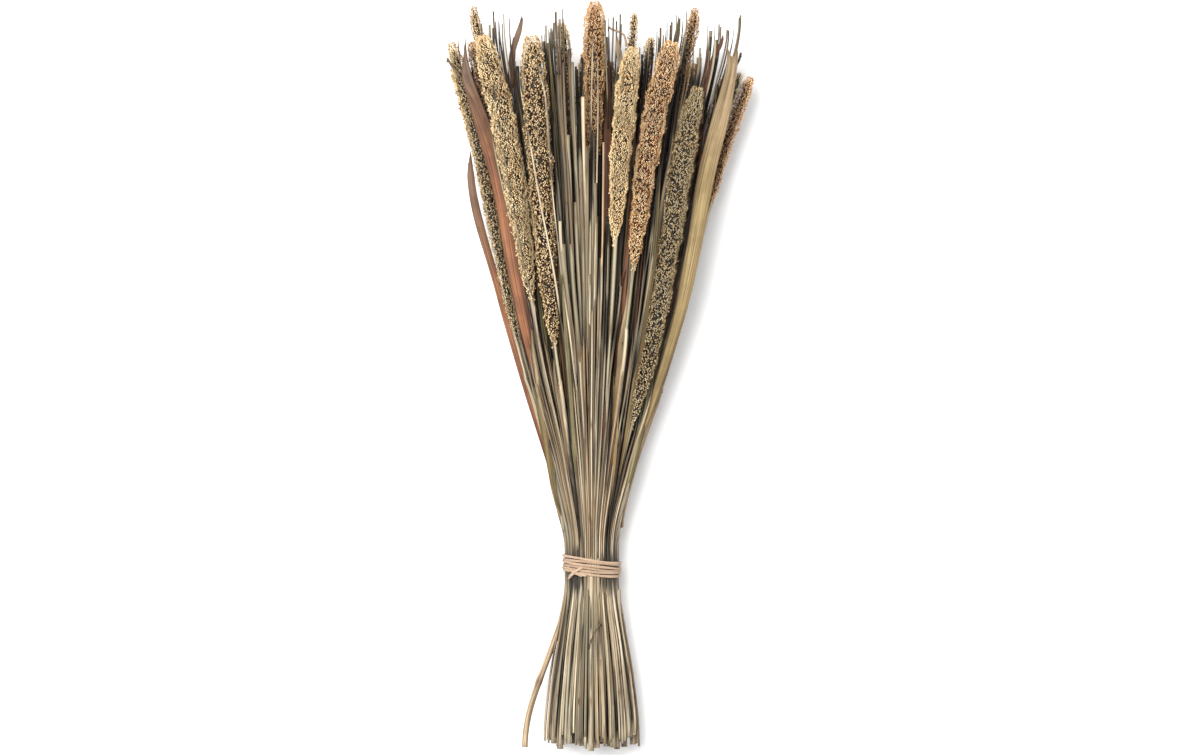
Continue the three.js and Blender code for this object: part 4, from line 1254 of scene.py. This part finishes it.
for n in range(FOOT_STRANDS):
    share, foot = -0.9 + 1.8 * scattered(n + 0.7), 2 + 12 * scattered(5 * n)
    places = [(share * 36, foot), (share * 30, 80), (share * 20, 148), (share * TIE_REACH, 166)]
    run = resting_run(places, 0.7 + 0.5 * scattered(7 * n), below, sink=1.1)
    run[:, 2] -= FOOT_TIE_SINK * eased((run[:, 1] - 124) / 26)
    foot_runs.append(("foot strand", run))
    straw_surface(pile, run, 2300 + n, STRAND_TONES[n % 10] * 0.7 + 0.2, sides=6, joints=n % 4 == 0)
dressed(pile.piece("thin_strands"), STRAW, "straw")

# %% [markdown]
# The leaves that were stripped from the stalks have left torn pieces on the lower fan. Each is the leaf
# surface again, narrow at its root and ragged at its end, hollow side down on the straws, along a few given
# places.

# %% Torn leaves on the lower fan
TORN = [
    # finish, half-width, roll in degrees, places (x, y)
    ("tan_leaf", 4.4, 8, [(13, 176), (17, 240), (20, 300), (28, 366), (33, 412)]),
    ("tan_leaf", 3.2, -10, [(-17, 178), (-30, 215), (-38, 270), (-45, 320), (-52, 372)]),
    ("copper_leaf", 2.8, 15, [(9, 176), (13, 205), (20, 250), (25, 300)]),
    ("olive_leaf", 3.8, 20, [(-15, 176), (-31, 225), (-40, 275), (-50, 330)]),
    ("olive_leaf", 3.0, -15, [(-5, 176), (-8, 200), (-14, 270), (-20, 350), (-25, 420)]),
    ("olive_leaf", 3.4, -25, [(15, 176), (27, 215), (39, 262), (52, 320), (64, 372)]),
    ("red_leaf", 2.2, 10, [(4, 178), (6, 215), (10, 290), (12, 350), (13, 395)]),
    ("tan_leaf", 2.4, 5, [(-9, 176), (-16, 205), (-25, 280), (-33, 345)]),
    ("tan_leaf", 2.6, -5, [(12, 190), (24, 240), (36, 310), (50, 400), (62, 480), (71, 545)]),
]
piles = {}
for n, (kind, half, roll, places) in enumerate(TORN):
    run = sunk(resting_run(places, 0.6, below))
    y = np.linspace(run[0, 1], run[-1, 1], 70)
    x, z = (np.interp(y, run[:, 1], run[:, k]) for k in (0, 2))
    share = (y - y[0]) / (y[-1] - y[0])
    width = half * (0.1 + 0.9 * eased(share / 0.45)) * (1 - 0.7 * eased((share - 0.7) / 0.3))
    pile = piles.setdefault(kind, Pile())
    rolled = math.radians(roll) + 0.2 * np.sin(3 * share + n)
    leaf_surface(pile, y, x, z, width, rolled, -0.35 * width, 1900 + n, 3.0, 13)
leaf_pieces("torn_leaves", piles)

# %% [markdown]
# A few ends break the outline at the top: cut stubs at both edges, a stem bent over between the
# spikes, curled tips of leaves. A dark dry sprig lies below the tie. They stand out against the pale
# table, so they are placed one by one and not left to a rule.

# %% Odd ends
ODD_STRAWS = [
    # radius, tone, places (x, y, z): stubs at both edges, a bent stem between the spikes
    (1.1, 0.05, [(-104, 560, 58), (-114, 588, 60), (-125, 602, 62)]),
    (1.1, 0.04, [(112, 562, 56), (121, 587, 58), (130, 607, 60)]),
    (0.9, 0.9, [(30, 612, 64), (28, 622, 66), (14, 629, 66)]),
    (0.8, 0.1, [(-84, 540, 62), (-92, 590, 62), (-96, 632, 63)]),
    (0.8, 0.2, [(14, 540, 70), (13, 590, 74), (12, 634, 76)]),
    (0.7, 0.08, [(96, 520, 66), (106, 570, 68), (118, 626, 70)]),
]
ODD_BLADES = [
    # finish, half-width, places (x, y, z)
    ("copper_leaf", 2.4, [(-70, 560, 68), (-69, 600, 70), (-60, 640, 72)]),
    ("olive_leaf", 2.6, [(-72, 540, 66), (-70, 590, 68), (-67, 622, 70)]),
    ("olive_leaf", 2.4, [(66, 560, 70), (72, 610, 72), (76, 640, 74)]),
    ("red_leaf", 1.8, [(96, 545, 66), (104, 598, 68), (114, 624, 70)]),
    ("tan_leaf", 2.6, [(26, 560, 64), (25, 596, 66), (22, 622, 68)]),
    ("red_leaf", 2.2, [(28, 560, 62), (30, 596, 64), (34, 621, 66)]),
    ("tan_leaf", 2.0, [(-38, 560, 62), (-36, 600, 64), (-34, 630, 66)]),
]
pile = Pile()
for n, (reach, tone, stops) in enumerate(ODD_STRAWS):
    straw_surface(pile, np.array([[*stop, reach] for stop in stops]), 2000 + n, tone, sides=8, joints=False)
sprig = resting_run([(-2.2, 89), (1.3, 100.4), (9.1, 117.7)], 0.5, laid + foot_runs)
straw_surface(pile, sprig, 2020, 0.08, sides=6, joints=False)
dressed(pile.piece("odd_straws"), STRAW, "straw")
piles = {}
for n, (kind, half, stops) in enumerate(ODD_BLADES):
    stops = np.array(stops, float)
    y = np.linspace(stops[0, 1], stops[-1, 1], 40)
    x, z = curved_through(stops, y)
    share = (y - y[0]) / (y[-1] - y[0])
    width = half * (0.5 + 0.5 * eased(share / 0.4)) * (1 - 0.6 * eased((share - 0.75) / 0.25))
    pile = piles.setdefault(kind, Pile())
    leaf_surface(pile, y, x, z, width, 0.3 * np.sin(3 * share + n), 0.2 * width, 2100 + n, 4.0, 9)
leaf_pieces("odd_blades", piles)

# %% [markdown]
# ## The raffia tie
# Raffia is a flat strip, wound round the bunch and knotted. Each turn is a thin crowned ribbon carried
# round it, and the turns lie side by side with small slips. The knot is four short bowed pieces of the
# same strip that cross on the turns, the last two of them its ends. A curve with a flat bevel would
# wind as well, but it has no crown and no swelling along its length.

# %% The wound strip
TURNS, TURN_WIDTH, TURN_THICKNESS, TIE_SLOPE = 6, 2.4, 1.35, -0.12
KNOT_THICKNESS = 0.8


def ribbon(pile, path, out_way, width, thickness, tone, seed, twist=0.0):
    """A crowned ribbon along a path: seven points across, raised in the middle, closed below."""
    along = directions(np.gradient(path, axis=0))
    side = directions(np.cross(along, out_way))
    out = np.cross(side, along)
    rng = np.random.default_rng(seed)
    s = np.linspace(0, 1, len(path))
    turn = twist * s + 0.08 * np.sin(s * 17 + rng.uniform(0, 6))
    side, out = (side * np.cos(turn)[:, None] + out * np.sin(turn)[:, None],
                 out * np.cos(turn)[:, None] - side * np.sin(turn)[:, None])
    u = np.array([-1, -0.66, -0.33, 0, 0.33, 0.66, 1])
    crown = np.array([0.2, 0.8, 0.7, 1.0, 0.7, 0.85, 0.2]) * thickness
    profile = np.concatenate([np.stack([u, crown], -1), np.stack([u[::-1], np.zeros(7)], -1)])
    swell = width / 2 * (1 + 0.1 * np.sin(s * 29 + rng.uniform(0, 6)))
    points = (path[:, None] + side[:, None] * (swell[:, None] * profile[None, :, 0])[..., None]
              + out[:, None] * profile[None, :, 1, None])
    rows, columns = points.shape[:2]
    caps = [[(row * columns, row * columns + k + turned, row * columns + k + 1 - turned)
             for k in range(1, columns - 1)] for row, turned in ((0, 1), (rows - 1, 0))]
    triangles = np.concatenate([grid_triangles(rows, columns, True), *caps])
    distance = np.concatenate([[0], np.cumsum(np.linalg.norm(np.diff(path, axis=0), axis=1))])
    flow = np.stack(np.broadcast_arrays(profile[None, :, 0] * 4 + seed, distance[:, None]), -1).reshape(-1, 2)
    pile.add(points.reshape(-1, 3), triangles, {"tone": np.full(rows * columns, tone)}, flow)


tie = Pile()
axis_height = float(gentle_curve(SECTIONS[:, 0], SECTIONS[:, 4], TIE_MIDDLE))
a = np.linspace(0, 2 * np.pi, 121)
round_way = np.stack([np.sin(a), np.zeros_like(a), np.cos(a)], -1)
for turn_index in range(TURNS):
    rng = np.random.default_rng(40 + turn_index)
    reach = TIE_INNER + 0.15 + 0.45 * (turn_index % 2) + 0.15 * np.sin(3 * a + turn_index)
    path = round_way * reach[:, None]
    slip = 0.55 * np.sin(a + rng.uniform(0, 6)) + 0.25 * np.sin(3 * a + rng.uniform(0, 6))
    path[:, 1] = TIE_MIDDLE + (turn_index - (TURNS - 1) / 2) * TURN_WIDTH + slip + TIE_SLOPE * path[:, 0]
    path[:, 2] += axis_height
    tone = 0.25 + 0.75 * scattered(turn_index + 3)
    ribbon(tie, path, round_way, TURN_WIDTH * 0.9, TURN_THICKNESS, tone, 40 + turn_index)

# %% The knot and its ends
KNOT_ANGLE = math.radians(-34)
knot_out = np.array([math.sin(KNOT_ANGLE), 0, math.cos(KNOT_ANGLE)])
knot_side = np.array([math.cos(KNOT_ANGLE), 0, -math.sin(KNOT_ANGLE)])
knot_centre = knot_out * (TIE_INNER + 1.7) + [0, TIE_MIDDLE - 3.0, axis_height]
s = np.linspace(0, 1, 40)[:, None]
KNOT_STRIPS = [
    # start and end across and along, height of the bow, width
    ((-8.0, 2.0), (7.0, -4.6), 1.1, 2.6), ((-6.0, -5.4), (7.5, 3.0), 1.5, 2.4),
    ((-2.0, -2.0), (10.5, -4.4), 1.4, 2.0), ((2.0, -1.0), (-7.5, -7.5), 1.4, 1.9),
]
for n, (start, end, lift, width) in enumerate(KNOT_STRIPS):
    flat = np.array(start) + (np.array(end) - np.array(start)) * s
    bow = lift * np.sin(np.pi * s) - 0.02 * flat[:, :1] ** 2
    path = knot_centre + knot_side * flat[:, :1] + np.array([0, 1, 0]) * flat[:, 1:] + knot_out * bow
    ribbon(tie, path, np.repeat(knot_out[None], 40, 0), width, KNOT_THICKNESS,
           0.5 + 0.15 * n, 60 + n, 0.5 * (n > 1))
dressed(tie.piece("wound_raffia"), RAFFIA, "raffia", "raffia_tie")

# %% [markdown]
# ## Painted shade deep in the bunch
# Between the outer straws one looks into the bunch, where little light comes. A finish that measures
# occlusion would be slow, so each point is told once how deep it lies: how far behind the average outermost
# points around it, seen from above, from below and from the two sides, whichever is least. The grain, straw
# and leaf finishes paint the deeper points darker, as painted shade. Light also comes in at the upper ends,
# so near them no point counts as deep.

# %% How deep each point lies
CELL = np.array([1.3, 9.0])  # wider than the steps along a straw, so that no cell of it stays empty
AROUND, FULL_DEPTH, OPEN_WEIGHT = 3, 1.8, 0.5
OPEN_END, LIGHT_SINKS_OVER = 648 + CUT_ENDS, 22  # the upper ends, and how gently it gets dark from there


def around_mean(grid, filled, open_height):
    """The mean over the cells beside each cell, three to the left and right and one up and down. A cell
    without any piece lets light in: it counts for half, with the height of an open place."""
    total, weight = np.zeros(grid.shape), np.zeros(grid.shape)
    for i in range(-AROUND, AROUND + 1):
        for k in (-1, 0, 1):
            total += np.roll(np.where(filled, grid, OPEN_WEIGHT * open_height), (i, k), (0, 1))
            weight += np.roll(np.where(filled, 1, OPEN_WEIGHT), (i, k), (0, 1))
    return total / weight


def depth_along(points, axis):
    """How far each point lies behind the average outermost points around it, seen along one axis from
    both ends, whichever is less."""
    flat, height = points[:, [2 - axis, 1]], points[:, axis]
    in_cells = (flat - flat.min(axis=0)) / CELL + AROUND + 1
    cells = in_cells.astype(int)
    size = cells.max(axis=0) + AROUND + 2
    high, low = np.full(size, height.min()), np.full(size, height.max())
    np.maximum.at(high, (cells[:, 0], cells[:, 1]), height)
    np.minimum.at(low, (cells[:, 0], cells[:, 1]), height)
    filled = high >= low
    high, low = around_mean(high, filled, height.min()), around_mean(low, filled, height.max())
    first, share = (in_cells[:, 1] - 0.5).astype(int), (in_cells[:, 1] - 0.5) % 1
    over, under = (grid[cells[:, 0], first] * (1 - share) + grid[cells[:, 0], first + 1] * share
                   for grid in (high, low))
    return np.minimum(over - height, height - under)


pieces = [o for o in bpy.context.scene.objects if o.type == "MESH" and "flow" in o.data.uv_layers]
places = []
for piece in pieces:
    flat = np.empty(len(piece.data.vertices) * 3, np.float32)
    piece.data.vertices.foreach_get("co", flat)
    places.append(flat.reshape(-1, 3) / MM)
everything = np.concatenate(places)
depth = np.minimum(depth_along(everything, 2), depth_along(everything, 0))
depth = np.minimum(depth, (OPEN_END - everything[:, 1]) / LIGHT_SINKS_OVER)
start = 0
for piece, place in zip(pieces, places):
    own = depth[start:start + len(place)]
    start += len(place)
    # The depth is stored for the finishes, which paint deeper points darker as painted shade.
    attribute = piece.data.attributes.new("depth_shade", "FLOAT", "POINT")
    attribute.data.foreach_set("value", np.clip(own / FULL_DEPTH, 0, 1).astype(np.float32))
print("points:", len(everything), "triangles:", sum(len(p.data.polygons) for p in pieces))

# %% [markdown]
# ## Table, light and camera
# The bunch lies on a pale table and is seen from straight above, with a long lens so that it hardly
# tapers. One large soft light from the upper left, a weak one from the lower right and a bright
# surrounding give the soft, even light of a product picture.

# %% Table, light and camera
FRAME_PIXELS = (1200, 755)
MM_PER_PIXEL = 0.8655
TIE_PIXEL, CUT_PIXEL = 591.5, 753.0
EYE_HEIGHT, FRONT_HEIGHT, SENSOR = 3.5, 0.07, 36.0

table_mesh = bpy.data.meshes.new("table")
table_mesh.from_pydata([(-6, -6, 0), (6, -6, 0), (6, 6, 0), (-6, 6, 0)], [], [(0, 1, 2, 3)])
table = bpy.data.objects.new("table", table_mesh)
bpy.context.scene.collection.objects.link(table)
table_finish, _, table_shader = new_finish("pale table", 0.9)
table_shader.inputs["Base Color"].default_value = (0.93, 0.93, 0.93, 1)
table_mesh.materials.append(table_finish)

middle_x = (FRAME_PIXELS[0] / 2 - TIE_PIXEL) * MM_PER_PIXEL + ACROSS_AT_TIE
middle_y = (CUT_PIXEL - FRAME_PIXELS[1] / 2) * MM_PER_PIXEL + CUT_ENDS
camera = bpy.data.objects.new("camera", bpy.data.cameras.new("camera"))
camera.location = (middle_x * MM, middle_y * MM, EYE_HEIGHT)
camera.data.sensor_width = SENSOR
camera.data.lens = SENSOR * (EYE_HEIGHT - FRONT_HEIGHT) / (FRAME_PIXELS[0] * MM_PER_PIXEL * MM)
bpy.context.scene.collection.objects.link(camera)
bpy.context.scene.camera = camera

world = bpy.data.worlds.new("soft surroundings")
world.use_nodes = True
world.node_tree.nodes["Background"].inputs["Color"].default_value = (1, 1, 1, 1)
world.node_tree.nodes["Background"].inputs["Strength"].default_value = 0.66
bpy.context.scene.world = world
for label, place, size, power in (("key", (-0.8, 0.7, 2.6), 1.5, 116), ("fill", (1.6, -0.8, 1.8), 1.6, 14)):
    lamp = bpy.data.objects.new(label, bpy.data.lights.new(label, "AREA"))
    lamp.data.size, lamp.data.energy = size, power
    lamp.location = place
    away = -np.array(place)
    tilt = math.atan2(math.hypot(away[0], away[1]), -away[2])
    lamp.rotation_euler = (tilt, 0, math.atan2(-away[0], away[1]))
    bpy.context.scene.collection.objects.link(lamp)
bpy.context.scene.view_settings.view_transform = "Standard"
print("lens", round(camera.data.lens, 1), "mm")
